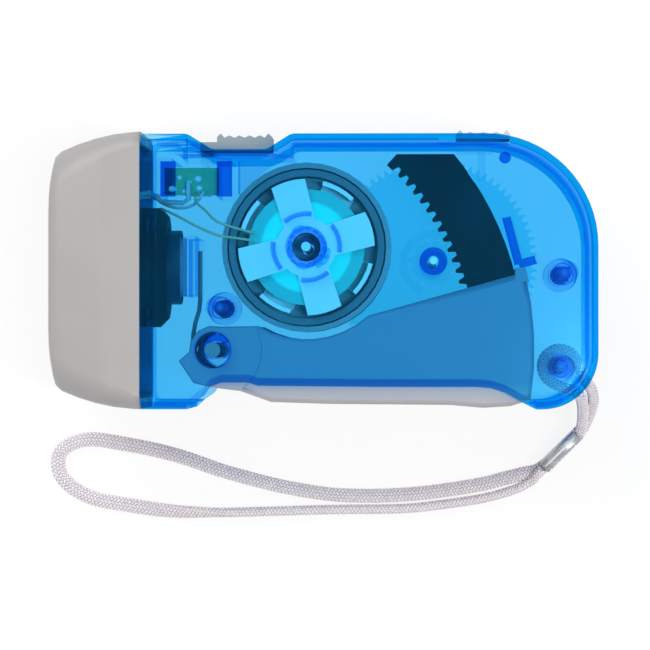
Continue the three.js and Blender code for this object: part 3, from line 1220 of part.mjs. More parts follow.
function powerKnob() {
  const base = RECESS_LEVEL + GAP;
  const half = KNOB_WIDTH / 2;
  const foot = block(KNOB_START, KNOB_END, base, base + KNOB_PLATE, -half, half);
  const thumb = plate(
    thumbOutline(KNOB_START + KNOB_FOOT, KNOB_END, base, base + KNOB_HEIGHT, KNOB_RIBS, KNOB_PAD),
    -half, half,
  );
  const stemEnd = KNOB_START + STEM_LENGTH;
  const low = ROOF_LEVEL - GAP - RETAINER_THICKNESS;
  const stem = block(KNOB_START, stemEnd, low, base + GAP, -STEM_WIDTH / 2, STEM_WIDTH / 2);
  const retainer = block(KNOB_START, stemEnd, low, ROOF_LEVEL - GAP, -STEM_WIDTH, STEM_WIDTH);
  const middle = KNOB_START + STEM_LENGTH / 2;
  const grip = SWITCH_NUB / 2 + GAP;
  const fork = block(middle - grip, middle + grip, low - OVERRUN, low + RETAINER_THICKNESS - GAP,
    -STEM_WIDTH - OVERRUN, STEM_WIDTH + OVERRUN);
  return cut(join(foot, thumb, stem, retainer), fork);
}

// Lock: a thumb piece whose stem carries a peg beside the sector's slot
function lockSlider() {
  const base = LOCK_LEVEL + GAP;
  const half = KNOB_WIDTH / 2;
  const end = LOCK_START + LOCK_LENGTH;
  const outline = thumbOutline(LOCK_START, end, base, base + LOCK_THICKNESS, LOCK_RIBS, LOCK_PAD);
  const thumb = plate(outline, -half, half);
  const stem = block(LOCK_STEM_START, LOCK_STEM_START + STEM_WIDTH, LOCK_PLATE_LEVEL, base + GAP,
    -STEM_WIDTH / 2, STEM_WIDTH / 2);
  const insideEnd = PEG_START + LOCK_TONGUE * 2;
  const inside = block(LOCK_START, insideEnd, LOCK_PLATE_LEVEL, INNER_TOP - GAP, -STEM_WIDTH, LOCK_FRONT);
  const tongue = block(PEG_START, PEG_START + LOCK_TONGUE, PEG_LEVEL, INNER_TOP - GAP,
    SECTOR_FRONT + GAP, LOCK_FRONT);
  const peg = block(PEG_START, PEG_START + LOCK_TONGUE, PEG_LEVEL, PEG_LEVEL + LOCK_PEG_HEIGHT,
    SECTOR_FRONT - LOCK_PEG_DEPTH, LOCK_FRONT);
  return join(thumb, stem, inside, tongue, peg);
}

// Strap. Its points are places about the casing's rear lower corner and above the floor.
const SMALL_LOOP = [
  [-2.14, -4.94, 7.96], [-1.85, -3.3, 9.6], [-1.85, -1, 12], [-2.15, 1, 14.6], [-2.95, 2.7, 16.8],
  [-5.35, 3.7, 17], [-8.17, 5.06, 17], [-9.59, 6.4, 17], [-10.05, 8.22, 17], [-9.44, 10.05, 17],
  [-7.53, 11.38, 17], [-5.21, 11.18, 17], [-3.57, 9.54, 17], [-2.45, 7.1, 17], [-1.45, 5.2, 16.8],
  [-0.35, 3.6, 15.3], [0.15, 1.6, 12.9], [-0.15, -0.6, 10.2], [-0.85, -2.7, 7.6], [-1.52, -4.3, 5.74],
];
const BIG_LOOP = [
  [-9.38, -12.4, 3.76], [-10.35, -13.5, 3.1], [-11.95, -15.1, 2.2], [-15.75, -16.9, 1.4],
  [-21.8, -18.5, 1.25], [-30.55, -19.8, 1.25], [-37.85, -20.5, 1.25], [-51.95, -20.7, 1.25],
  [-65.55, -21.1, 1.25], [-74.55, -21.3, 1.25], [-84.15, -21, 1.25], [-92.75, -19.8, 1.25],
  [-99.05, -18.6, 1.25], [-103.15, -16.7, 1.25], [-105.75, -14.4, 1.25], [-106.65, -11.85, 1.25],
  [-106.15, -9.2, 1.25], [-103.55, -7.3, 1.25], [-99.45, -6.65, 1.25], [-93.55, -7.5, 1.25],
  [-86.45, -8.9, 1.25], [-80.45, -10.55, 1.25], [-74.55, -12.6, 1.25], [-68.25, -14.4, 1.25],
  [-60.75, -16.2, 1.25], [-51.95, -17.6, 1.25], [-44.55, -17.9, 1.25], [-37.85, -17.7, 1.25],
  [-30.55, -17, 1.25], [-21.8, -15.6, 1.25], [-16.55, -14.3, 1.25], [-13.05, -13.4, 1.25],
  [-10.55, -12.9, 1.3], [-8.76, -11.76, 1.54],
];
const FERRULE_START = new THREE.Vector3(-8.55, -11.55, 2.95);
const FERRULE_END = new THREE.Vector3(-2.35, -5.15, 6.55);

// A folded metal ferrule that grips all four cords, with one serrated edge
function strapFerrule() {
  const along = FERRULE_END.clone().sub(FERRULE_START);
  const length = along.length();
  const [half, high] = [FERRULE_WIDTH / 2, FERRULE_HEIGHT / 2];
  const fold = half * FERRULE_FOLD_SHARE;
  const body = loft([0, length].map((level) => [
    rounded([[-high, -half, fold], [high, -half, fold], [high, half, fold], [-high, half, fold]]), level,
  ]));
  const pitch = length / (FERRULE_TEETH + 1);
  const notches = Array.from({ length: FERRULE_TEETH }, (_, i) => (
    block(high - FERRULE_TOOTH * 3, high + OVERRUN, half - FERRULE_TOOTH, half + OVERRUN,
      pitch * (i + 1) - FERRULE_TOOTH, pitch * (i + 1) + FERRULE_TOOTH)
  ));
  const tooth = FERRULE_TOOTH;
  const seam = block(-tooth, tooth, half - tooth, half + OVERRUN, -OVERRUN, length + OVERRUN);
  const zAxis = along.normalize();
  const yAxis = new THREE.Vector3(0, 0, 1).cross(zAxis).normalize();
  const xAxis = yAxis.clone().cross(zAxis);
  const place = new THREE.Matrix4().makeBasis(xAxis, yAxis, zAxis).setPosition(FERRULE_START);
  return cut(body, ...notches, seam).transform(place.toArray());
}

const smallLoop = () => cordAlong(SMALL_LOOP, STRAP_RADIUS, SMALL_LOOP_STEPS);
const bigLoop = () => cordAlong(BIG_LOOP, STRAP_RADIUS, BIG_LOOP_STEPS);

// Wires, as places behind the torch's front and about its middle plane. Two run to the head, two to the coil.
const BATTERY_WIRE = [
  [26.05, 17.4, 5], [26.05, 15.6, 5], [26.05, 14, 4.6], [25.25, 13.4, 4], [23.25, 13.5, 3.4],
  [21.55, 13.6, 2.4], [20.25, 13.95, 1.4], [19.45, 14.9, 0.5], [17.65, 15.6, 0.4], [15.55, 15, 0.2],
  [13.75, 13.8, 0], [13.1, 12, 0],
];
const SWITCH_WIRE = [
  [29.15, 15.6, 4.8], [28.25, 14.2, 4.5], [26.55, 12.7, 3.8], [24.05, 12.4, 3.2], [21.95, 12.9, 1.8],
  [20.35, 13.7, 0.3], [19.45, 14.5, -0.5], [17.55, 14.8, -0.8], [15.35, 14.3, -1.2], [13.75, 13.2, -2],
  [13.1, 11.5, -2],
];
const COIL_WIRE_1 = [
  [27.65, 15.3, 4.75], [27.45, 13.9, 5.6], [29.75, 11.6, 8.6], [31.95, 9.5, 11.6], [34.55, 8.5, 12.25],
  [36.95, 7.8, 12.25], [39.43, 7.12, 12.25],
];
const COIL_WIRE_2 = [
  [20.75, 12.2, 5.7], [23.55, 11, 7], [27.45, 8.9, 9.4], [30.15, 7.6, 11.2], [32.55, 6.7, 12.1],
  [36.05, 6.2, 12.25], [39.16, 5.72, 12.25],
];

// Assembly. The torch lies on z = 0 with the middle of its box over the origin.
const part = new THREE.Group();
const torch = new THREE.Group();
torch.position.set(0, -(LOCK_TOP + BOTTOM) / 2, 0);
part.add(torch);
const middle = new THREE.Group();
middle.position.set(0, 0, SIDE);
torch.add(middle);
const wires = new THREE.Group();
wires.position.set(FRONT, 0, 0);
middle.add(wires);
const strap = new THREE.Group();
strap.position.set(REAR, BOTTOM, 0);
torch.add(strap);

function add(group, name, body, material) {
  const mesh = new THREE.Mesh(geometryOf(body), material);
  mesh.name = name;
  group.add(mesh);
}

function groupAt(spot) {
  const group = new THREE.Group();
  group.position.set(spot.x, spot.y, 0);
  middle.add(group);
  return group;
}

const gears = groupAt(AXLE);
const rotor = groupAt(ROTOR);

add(middle, 'left_casing', leftCasing(), BLUE_CLEAR);
add(middle, 'right_casing', rightCasing(), BLUE_CLEAR);
add(middle, 'head_bezel', headBezel(), WARM_GREY);
add(middle, 'lens', lens(), CLEAR);
add(middle, 'reflector', reflector(), MIRROR);
ledSpots().forEach((spot, i) => add(middle, `led_${i + 1}`, led(spot), CLEAR));
add(middle, 'led_board', ledBoard(), GREEN_BOARD);
add(middle, 'battery_holder', batteryHolder(), BLACK_PLASTIC);
for (let i = 0; i < CELL_COUNT; i += 1) add(middle, `battery_cell_${i + 1}`, batteryCell(i), STEEL);
add(middle, 'battery_sleeve', batterySleeve(), BLACK_PLASTIC);
add(middle, 'battery_contact', contactStrip(), STEEL);
add(middle, 'pivot_pin', pivotPin(), STEEL);
add(middle, 'return_spring', returnSpring(), DARK_STEEL);
add(middle, 'gear_axle', gearAxle(), STEEL);
SCREWS.forEach((spot, i) => add(middle, `case_screw_${i + 1}`, screw(spot), DARK_STEEL));
add(middle, 'switch_board', switchBoard(), GREEN_BOARD);
add(middle, 'switch_body', switchBody(), STEEL);
add(middle, 'switch_slider', switchSlider(), BLACK_PLASTIC);
add(middle, 'power_knob', powerKnob(), KNOB_GREY);
add(middle, 'lock_slider', lockSlider(), KNOB_GREY);
add(wires, 'battery_wire', cordAlong(BATTERY_WIRE, BATTERY_WIRE_RADIUS, WIRE_STEPS), WIRE_WHITE);
add(wires, 'switch_wire', cordAlong(SWITCH_WIRE, SWITCH_WIRE_RADIUS, WIRE_STEPS), WIRE_WHITE);
add(wires, 'coil_wire_1', cordAlong(COIL_WIRE_1, COIL_WIRE_RADIUS, WIRE_STEPS), COPPER);
add(wires, 'coil_wire_2', cordAlong(COIL_WIRE_2, COIL_WIRE_RADIUS, WIRE_STEPS), COPPER);
add(middle, 'lever', lever(), LEVER_GREY);
add(middle, 'sector_gear', sectorGear(), BLACK_PLASTIC);
add(gears, 'drive_pinion', drivePinion(), CLEAR_NYLON);
add(gears, 'drive_gear', driveGear(), CLEAR_NYLON);
add(gears, 'ratchet_pawl', ratchetPawl(), CLEAR_NYLON);
add(rotor, 'flywheel', flywheel(), DARK_STEEL);
add(rotor, 'ring_magnet', ringMagnet(), FERRITE);
add(rotor, 'rotor_pinion', rotorPinion(), WHITE_NYLON);
add(rotor, 'rotor_shaft', rotorShaft(), STEEL);
add(rotor, 'stator_front_plate', frontStator(), STEEL);
add(rotor, 'stator_back_plate', backStator(), STEEL);
add(rotor, 'stator_core', statorCore(), STEEL);
add(rotor, 'coil_bobbin', coilBobbin(), TEAL_BOBBIN);
add(rotor, 'coil_winding', coilWinding(), COPPER);
add(strap, 'strap_ferrule', strapFerrule(), STEEL);
add(strap, 'strap_small_loop', smallLoop(), BRAID);
add(strap, 'strap_big_loop', bigLoop(), BRAID);

export default part;
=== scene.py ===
import json
import math

import bpy
import bmesh
from mathutils import Matrix, Vector
from mathutils.bvhtree import BVHTree
from mathutils.kdtree import KDTree


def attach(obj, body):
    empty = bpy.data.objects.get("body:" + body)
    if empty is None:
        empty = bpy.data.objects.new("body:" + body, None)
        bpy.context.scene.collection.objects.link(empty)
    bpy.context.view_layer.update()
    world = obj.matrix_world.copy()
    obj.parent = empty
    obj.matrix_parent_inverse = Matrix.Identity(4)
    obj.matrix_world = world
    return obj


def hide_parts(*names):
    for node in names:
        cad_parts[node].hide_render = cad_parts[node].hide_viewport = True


MM = 0.001
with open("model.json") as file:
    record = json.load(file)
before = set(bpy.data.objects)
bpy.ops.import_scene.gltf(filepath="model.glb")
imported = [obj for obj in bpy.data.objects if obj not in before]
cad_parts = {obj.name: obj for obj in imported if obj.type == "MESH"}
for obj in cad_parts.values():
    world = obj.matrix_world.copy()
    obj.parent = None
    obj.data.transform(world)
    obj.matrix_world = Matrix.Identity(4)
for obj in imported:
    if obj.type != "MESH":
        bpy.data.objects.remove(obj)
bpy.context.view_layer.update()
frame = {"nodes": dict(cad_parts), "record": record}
NODES = frame["nodes"]
print(len(NODES), "solid parts loaded")

# %% [markdown]
# ## The camera
#
# The photograph looks straight down from about 60 cm with a long lens. The lens is found from two
# sizes: 600 mm of distance above the middle of the casing, and 0.1957 mm there for each pixel of a
# 650 pixel frame. The camera stands a little to the rear of the middle and looks back to it, which
# frames the torch without any lens shift.
# %% Camera
SENSOR = 36.0
LENS = 169.8
NEAREST = 10 * MM
CAMERA_PLACE = Vector((14.68, -15.65, 617.0)) * MM
CAMERA_AIM = Vector((0.0, -10.76, 17.0)) * MM

camera_data = bpy.data.cameras.new("camera")
camera_data.sensor_width = SENSOR
camera_data.lens = LENS
camera_data.clip_start = NEAREST
camera = bpy.data.objects.new("camera", camera_data)
back = (CAMERA_PLACE - CAMERA_AIM).normalized()
right = Vector((0, 1, 0)).cross(back).normalized()
turned = Matrix((right, back.cross(right), back)).transposed()
camera.matrix_world = Matrix.Translation(CAMERA_PLACE) @ turned.to_4x4()
bpy.context.scene.collection.objects.link(camera)
bpy.context.scene.camera = camera
print("camera", [round(v, 4) for v in CAMERA_PLACE])

# %% [markdown]
# ## A short way to write materials
#
# A material is a small program drawn as nodes. `Value` wraps one output socket, so that sums on
# values can be written as plain Python, and each sum adds its Math node. `Finish` owns a material.
# Its `node` method adds any other node: first its settings, then what goes into its sockets. The
# other methods are the few steps that this torch's finishes share.
# %% Values
class Value:
    """A number or colour on its way through a material."""

    def __init__(self, finish, socket):
        self.finish, self.socket = finish, socket

    def sum(self, operation, *inputs):
        settings = {"operation": operation}
        return self.finish.node("ShaderNodeMath", settings, dict(enumerate(inputs)))

    def __add__(self, other):
        return self.sum("ADD", self, other)

    def __mul__(self, other):
        return self.sum("MULTIPLY", self, other)

    def __gt__(self, other):
        return self.sum("GREATER_THAN", self, other)

    __radd__ = __add__
    __rmul__ = __mul__


def colour(hexes, shade=1.0):
    """A colour written as on a screen, as the linear values that nodes use."""
    parts = [int(hexes[i:i + 2], 16) / 255 for i in (0, 2, 4)]
    linear = [p / 12.92 if p <= 0.04045 else ((p + 0.055) / 1.055) ** 2.4 for p in parts]
    return tuple(min(1.0, p * shade) for p in linear) + (1.0,)


print("the head's grey in linear values", [round(v, 3) for v in colour("a5a2a2")])


# %% Finishes
class Finish:
    """A material that is built node by node."""

    def __init__(self, name):
        self.material = bpy.data.materials.new(name)
        self.material.use_nodes = True
        self.tree = self.material.node_tree
        self.tree.nodes.clear()

    def node(self, kind, settings=None, inputs=None, output=0):
        """Adds a node, and gives back one of its outputs."""
        node = self.tree.nodes.new(kind)
        for key, value in (settings or {}).items():
            setattr(node, key, value)
        for key, value in (inputs or {}).items():
            if isinstance(value, Value):
                self.tree.links.new(value.socket, node.inputs[key])
            else:
                node.inputs[key].default_value = value
        return Value(self, node.outputs[output])

    def place(self, stretch=(1, 1, 1), centre=(0, 0, 0), turn=(0, 0, 0)):
        """The point on the piece in its own coordinates, stretched, turned or moved."""
        here = self.node("ShaderNodeTexCoord", output="Object")
        if (stretch, centre, turn) == ((1, 1, 1), (0, 0, 0), (0, 0, 0)):
            return here
        moved = self.node("ShaderNodeVectorMath", {"operation": "SUBTRACT"}, {0: here, 1: centre})
        return self.node("ShaderNodeMapping", None, {0: moved, "Rotation": turn, "Scale": stretch})

    def height(self):
        """How far the point lies along y, from the lever's side to the knobs' side."""
        return self.node("ShaderNodeSeparateXYZ", None, {0: self.place()}, 1)

    def reach(self, axis):
        """The distance of the point from an upright axis."""
        flat = self.node("ShaderNodeVectorMath", {"operation": "MULTIPLY"},
                         {0: self.place(centre=tuple(axis)), 1: (1, 1, 0)})
        return self.node("ShaderNodeVectorMath", {"operation": "LENGTH"}, {0: flat}, "Value")

    def noise(self, size, detail=2.0, place=None):
        """Soft noise from 0 to 1, whose blotches are about `size` metres across."""
        inputs = {"Vector": place or self.place(), "Scale": 1 / size, "Detail": detail}
        return self.node("ShaderNodeTexNoise", None, inputs)

    def mark(self, key):
        """A number that the piece's faces or corners carry."""
        return self.node("ShaderNodeAttribute", {"attribute_name": key}, output="Fac")

    def spread(self, value, low, high, first, second):
        """Maps low..high of a value to first..second, and clamps it there."""
        inputs = {0: value, 1: low, 2: high, 3: first, 4: second}
        return self.node("ShaderNodeMapRange", None, inputs)

    def mix(self, factor, first, second):
        """Mixes two colours."""
        inputs = {0: factor, 6: first, 7: second}
        return self.node("ShaderNodeMix", {"data_type": "RGBA"}, inputs, 2)

    def clouded(self, clouds, hexes, change):
        """A colour that clouds make a little darker and lighter."""
        return self.mix(clouds, colour(hexes, 1 - change), colour(hexes, 1 + change))

    def bump(self, height, depth):
        return self.node("ShaderNodeBump", None, {"Distance": depth, "Height": height})

    def surface(self, inputs):
        return self.node("ShaderNodeBsdfPrincipled", None, inputs)

    def passing(self, tint):
        """Lets light straight through, tinted once."""
        return self.node("ShaderNodeBsdfTransparent", None, {0: tint})

    def join(self, factor, first, second):
        """Mixes two shaders."""
        return self.node("ShaderNodeMixShader", None, {0: factor, 1: first, 2: second})

    def done(self, shader):
        leave = self.tree.nodes.new("ShaderNodeOutputMaterial")
        self.tree.links.new(shader.socket, leave.inputs["Surface"])
        return self.material


print("finishes can be built")

# %% [markdown]
# ## Plain plastics
#
# A moulded plastic is never one flat colour: the pigment is a little cloudy, and the mould leaves a
# fine grain that scatters light. One function makes them all, with a cloud a few millimetres wide
# for the colour and a grain of some tenths of a millimetre for the bump and the gloss.
# %% Moulded plastics
GRAIN = 0.25 * MM
GRAIN_DEPTH = 0.02 * MM


def plastic(name, hexes, roughness, cloud=6 * MM, grain=GRAIN, depth=GRAIN_DEPTH, change=0.06,
            **extra):
    finish = Finish(name)
    clouds = finish.noise(cloud, 3)
    grains = finish.noise(grain, 2)
    gloss = finish.spread(grains, 0.3, 0.7, roughness - 0.06, roughness + 0.08)
    inputs = {"Base Color": finish.clouded(clouds, hexes, change), "Roughness": gloss,
              "Normal": finish.bump(grains, depth)}
    inputs.update(extra)
    return finish.done(finish.surface(inputs))


WARM_GREY = plastic("warm_grey", "a5a2a2", 0.42, cloud=11 * MM, change=0.05)
BLACK_PLASTIC = plastic("black_plastic", "101114", 0.7, **{"Specular IOR Level": 0.2})
SLEEVE_FILM = plastic("sleeve_film", "17304a", 0.5)
WHITE_NYLON = plastic("white_nylon", "e6e4dc", 0.35, change=0.03)
WIRE_WHITE = plastic("wire_white", "dcdcdc", 0.4, cloud=1 * MM)
ENAMEL = plastic("enamel", "d9c49a", 0.3, cloud=1 * MM)
FERRITE = plastic("ferrite", "66737c", 0.6, grain=0.15 * MM)
GREEN_BOARD = plastic("green_board", "5dbd84", 0.35, cloud=2 * MM, change=0.2)
PHOSPHOR = plastic("phosphor", "e8d24a", 0.5, cloud=0.3 * MM, change=0.1)
print("plastics made")

# %% [markdown]
# ## The lever
#
# The hand only ever touches the lever's outer side, which is a clean light grey. What stays inside
# the casing is painted a darker, bluish grey, as painted shade under the casing. The change could
# be a second solid, but the real lever is one moulding, so that one finish changes along its
# height, a little unevenly.
# %% Lever
LEVER_SHADE_BAND = (-23.4 * MM, -21.6 * MM)
UNEVEN_SHADE_EDGE = 0.6 * MM


def lever_grey():
    finish = Finish("lever_grey")
    height = finish.height()
    clouds = finish.noise(6 * MM, 3)
    grains = finish.noise(GRAIN, 2)
    # painted shade: above this band, inside the casing, the lever turns a darker, bluish grey
    inside = finish.spread(height + clouds * UNEVEN_SHADE_EDGE, *LEVER_SHADE_BAND, 0.0, 1.0)
    outer = finish.clouded(clouds, "aba9ad", 0.03)
    painted_shade_grey = finish.clouded(clouds, "8494ab", 0.03)
    return finish.done(finish.surface({
        "Base Color": finish.mix(inside, outer, painted_shade_grey),
        "Roughness": finish.spread(grains, 0.3, 0.7, 0.4, 0.53),
        "Normal": finish.bump(grains, GRAIN_DEPTH)}))


LEVER_GREY = lever_grey()
print("lever made")

# %% [markdown]
# ## The coil's bobbin
#
# The bobbin is thin tinted nylon. Light comes through its middle, which looks bright cyan, and its
# flange is a deeper teal. A true translucent plastic would need many light paths behind the clear
# casing, so painted light stands in for it: the middle's brighter colour and a faint glow follow
# the distance from the rotor's axis instead.
# %% Bobbin
ROTOR_AXIS = Vector((-3.27, 4.08, 0.0)) * MM
BOBBIN_LIT_MIDDLE = (8.4 * MM, 9.0 * MM)


def bobbin():
    finish = Finish("teal_plastic")
    lit_middle = finish.spread(finish.reach(ROTOR_AXIS), *BOBBIN_LIT_MIDDLE, 1.0, 0.0)
    clouds = finish.noise(3 * MM, 2)
    # painted light: the middle is a brighter cyan, where light comes through it
    base = finish.mix(lit_middle, (0.08, 0.66, 0.55, 1), (0.05, 0.98, 0.96, 1))
    base = finish.mix(clouds * 0.3, base, (0.05, 0.55, 0.6, 1))
    # painted light: a faint glow from the middle, though the bobbin is no lamp
    glow = finish.mix(lit_middle, (0, 0, 0, 1), (0.0, 0.16, 0.03, 1))
    return finish.done(finish.surface({
        "Base Color": base, "Roughness": finish.spread(clouds, 0.3, 0.7, 0.3, 0.4),
        "Emission Color": glow, "Emission Strength": 1.0}))


TEAL_PLASTIC = bobbin()
print("bobbin made")

# %% [markdown]
# ## Metals
#
# Turned and pressed steel shows fine lines where the tool ran, so that its noise is stretched. The
# lines change the roughness and the bump, and a slow cloud of oil film changes the colour. The end
# of the gear's axle is bright in the middle, and darker and duller round it.
# %% Metals
def metal(name, hexes, roughness, stretch=(1, 1, 12), depth=0.004 * MM, change=0.12, shine=1.0):
    finish = Finish(name)
    lines = finish.noise(0.3 * MM, 3, finish.place(stretch))
    film = finish.noise(3 * MM, 3)
    base = finish.mix(film, colour(hexes, 1 - change), colour(hexes, 1 + change / 2))
    gloss = finish.spread(lines, 0.3, 0.7, roughness - 0.05, roughness + 0.1)
    return finish.done(finish.surface({
        "Base Color": base, "Metallic": shine, "Roughness": gloss,
        "Normal": finish.bump(lines, depth)}))


def turned_end(name, axis, bright):
    """Steel whose turned end is bright in the middle and dull round it."""
    finish = Finish(name)
    lines = finish.noise(0.2 * MM, 3)
    edge = finish.reach(axis) + lines * (0.3 * MM)
    dull = finish.spread(edge, bright, bright + 0.3 * MM, 0.0, 1.0)
    return finish.done(finish.surface({
        "Base Color": finish.mix(dull, colour("f8f9fa"), colour("4c5f86")), "Metallic": 0.3,
        "Roughness": finish.spread(dull, 0, 1, 0.25, 0.5)}))


STEEL = metal("steel", "c2c8cc", 0.3, shine=0.6)
NICKEL = metal("nickel", "f8f9fa", 0.34, (6, 1, 1), depth=0.001 * MM, change=0.03, shine=0.12)
DARK_STEEL = metal("dark_steel", "8a8f95", 0.34, depth=0.002 * MM, shine=0.6)
MIRROR = metal("mirror", "eceef0", 0.08, depth=0.0005 * MM, change=0.03)
COPPER = metal("copper", "b5632f", 0.3)
AXLE_END = turned_end("axle_end", Vector((21.09, 1.39, 0)) * MM, 0.8 * MM)
print("metals made")

# %% [markdown]
# ## The clear blue casing
#
# Light runs straight through polished clear plastic, which a Transparent shader shows without any
# noise: lamps then reach the parts inside. Each face that a ray crosses tints it once. Glass with a
# coloured volume would be the other way, but it is slow and grainy here, and an export drops it.
#
# Deep plastic has a deeper tint. A rib or a boss seen from its end looks royal blue instead of sky
# blue, and so do the rims and side walls. These faces carry a number named `thick`, and the
# material mixes a deeper tint there. The rounds along the outer edge gather light from far inside
# the wall and lose all their red. They carry the number `edge`. A little milky blue veils what lies
# below, fine scuffs and specks catch the light, and the gloss grows where we look along a surface.
# %% Clear plastics
def clear_plastic(name, thin, veil, veil_share, roughness, gloss_share,
                  mirrored=(0.4, 0.8, 1.0, 1), marks=()):
    """Clear plastic. `marks` pairs each number on the faces with the tint that it brings."""
    finish = Finish(name)
    through = finish.passing(thin)
    for key, tint in marks:
        through = finish.join(finish.mark(key), through, finish.passing(tint))
    flow = finish.noise(16 * MM, 3)
    scuffs = finish.noise(0.2 * MM, 4, finish.place((1, 9, 1), turn=(0, 0, 0.5)))
    specks = finish.noise(0.7 * MM, 1) > 0.79
    gloss = finish.spread(scuffs, 0.3, 0.75, roughness, roughness + 0.1)
    milk = finish.surface({"Base Color": veil, "Roughness": gloss, "Specular IOR Level": 0.0,
                           "Normal": finish.bump(flow, 0.05 * MM)})
    share = finish.spread(flow, 0.3, 0.7, veil_share * 0.7, veil_share * 1.3)
    share = share + specks * 0.05 + finish.spread(scuffs, 0.66, 0.8, 0.0, 0.05)
    body = finish.join(share, through, milk)
    grazing = finish.node("ShaderNodeFresnel", None, {"IOR": 1.46})
    mirror = finish.node("ShaderNodeBsdfGlossy", None, {"Color": mirrored, "Roughness": gloss})
    return finish.done(finish.join(finish.spread(grazing, 0.0, 1.0, *gloss_share), body, mirror))


BLUE_CLEAR = clear_plastic(
    "blue_clear", thin=(0.52, 0.865, 1.0, 1), veil=(0.0, 0.42, 1.0, 1), veil_share=0.018,
    roughness=0.05, gloss_share=(0.012, 0.07), mirrored=(0.12, 0.66, 1.0, 1),
    marks=(("thick", (0.0, 0.215, 0.84, 1)), ("edge", (0.0, 0.52, 0.91, 1))))
CLEAR = clear_plastic("clear", thin=(0.97, 0.98, 0.99, 1), veil=(0.8, 0.85, 0.9, 1),
                      veil_share=0.03, roughness=0.03, gloss_share=(0.0, 0.15))
CLEAR_NYLON = clear_plastic("clear_nylon", thin=(0.9, 0.97, 0.99, 1), veil=(0.4, 0.8, 1.0, 1),
                            veil_share=0.01, roughness=0.3, gloss_share=(0.0, 0.05))
# clear nylon for the drive gear, whose bluer tint is partly painted shade: it darkens the zone
# round the gear, where a shadow falls
GEAR_NYLON_WITH_SHADE = clear_plastic("gear_nylon_with_shade", thin=(0.6, 0.93, 0.965, 1), veil=(0.1, 0.7, 1.0, 1),
                           veil_share=0.01, roughness=0.3, gloss_share=(0.0, 0.05))
print("clear plastics made")

# %% [markdown]
# ## The two sliding knobs
#
# Both thumb pads are grey. What reaches down into the casing is thin nylon, which hardly shows
# there, so that one material changes from grey to clear below the casing's roof.
# %% Sliding knobs
def knob_finish(name, hexes, roof):
    finish = Finish(name)
    grey = finish.surface({
        "Base Color": finish.clouded(finish.noise(3 * MM, 3), hexes, 0.05), "Roughness": 0.5,
        "Normal": finish.bump(finish.noise(GRAIN, 2), GRAIN_DEPTH)})
    inside = finish.join(0.04, finish.passing((0.86, 0.96, 0.99, 1)), grey)
    return finish.done(finish.join(finish.height() > roof, inside, grey))


LOCK_GREY = knob_finish("lock_grey", "c6cece", 25.3 * MM)
POWER_GREY = knob_finish("power_grey", "8f9c9d", 22.3 * MM)
print("sliding knobs made")

# %% [markdown]
# ## Pieces in place of solids
#
# Each finished mesh becomes a piece that rides on one moving body of the torch. Where it stands for
# a solid, that solid is hidden.
# %% Pieces
BODIES = frame["record"]["behaviour"]["bodies"]
BODY_OF = {node: body for body, members in BODIES.items() for node in members}
SLOT_OF = {part["node"]: part["material_slot"] for part in frame["record"]["subparts"]}


def piece(name, mesh, material, body, *stands_for):
    """Puts a finished mesh in the scene, on its body, in place of the solids named last."""
    mesh.materials.clear()
    mesh.materials.append(material)
    thing = bpy.data.objects.new(name, mesh)
    bpy.context.scene.collection.objects.link(thing)
    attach(thing, body)
    if stands_for:
        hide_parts(*stands_for)
    return thing


# %% [markdown]
# ## How deep the casing's plastic is
#
# The material needs to know how much plastic lies behind each face of the casing. We ask the mesh
# itself: a ray from the face through the plastic gives the depth, and a ray out of it tells an
# outer side from an inner one. The tint starts to deepen where the plastic is deeper than a wall,
# and soon reaches its full strength. All sizes are in millimetres.
#
# Some places are set after the photograph. Rims along the parting plane and in the lock's slot stay
# light. The gusset, the hole's rings and the boss round the rotor are half as strong, and the far
# half of the casing is seen through everything else, so that its marks are weaker. The casing's
# front, inside the head, has no marks.
# %% Places in the casing
CASING_SIDE = {"left_casing": 1, "right_casing": -1}
MIDDLE = 17.0
WALL, DEEPENS_OVER = 2.2, 0.9
PARTING, RIM, SLOT_LEVEL = 4.0, 3.6, 23.8
BOSS_REACH, ROTOR_REACH = 4.0, 8.0
FLANGE = -32.0
HOLE_ENDS = (25.3, 5.1)
GUSSET = (-18.6, -10.5, 12.5)
FLAT_SLOPE, SIDE_SLOPE = 0.9, 0.2
SIDE_TINT, INNER_TINT, BOSS_TINT, RIM_TINT = 0.3, 0.07, 0.5, 0.145
GUSSET_SHARE, SOFT_SHARE, FAR_SHARE = 0.3, 0.5, 0.35
CLEAR_OF_FACE, INTO_RIM = 0.02 * MM, 0.3 * MM

BOSS_AXES = []
for node in ("case_screw_1", "case_screw_2", "case_screw_3", "pivot_pin"):
    corners = [v.co / MM for v in NODES[node].data.vertices]
    BOSS_AXES.append(tuple(
        (min(c[k] for c in corners) + max(c[k] for c in corners)) / 2 for k in (0, 1)))
print("boss axes", [(round(a, 1), round(b, 1)) for a, b in BOSS_AXES])


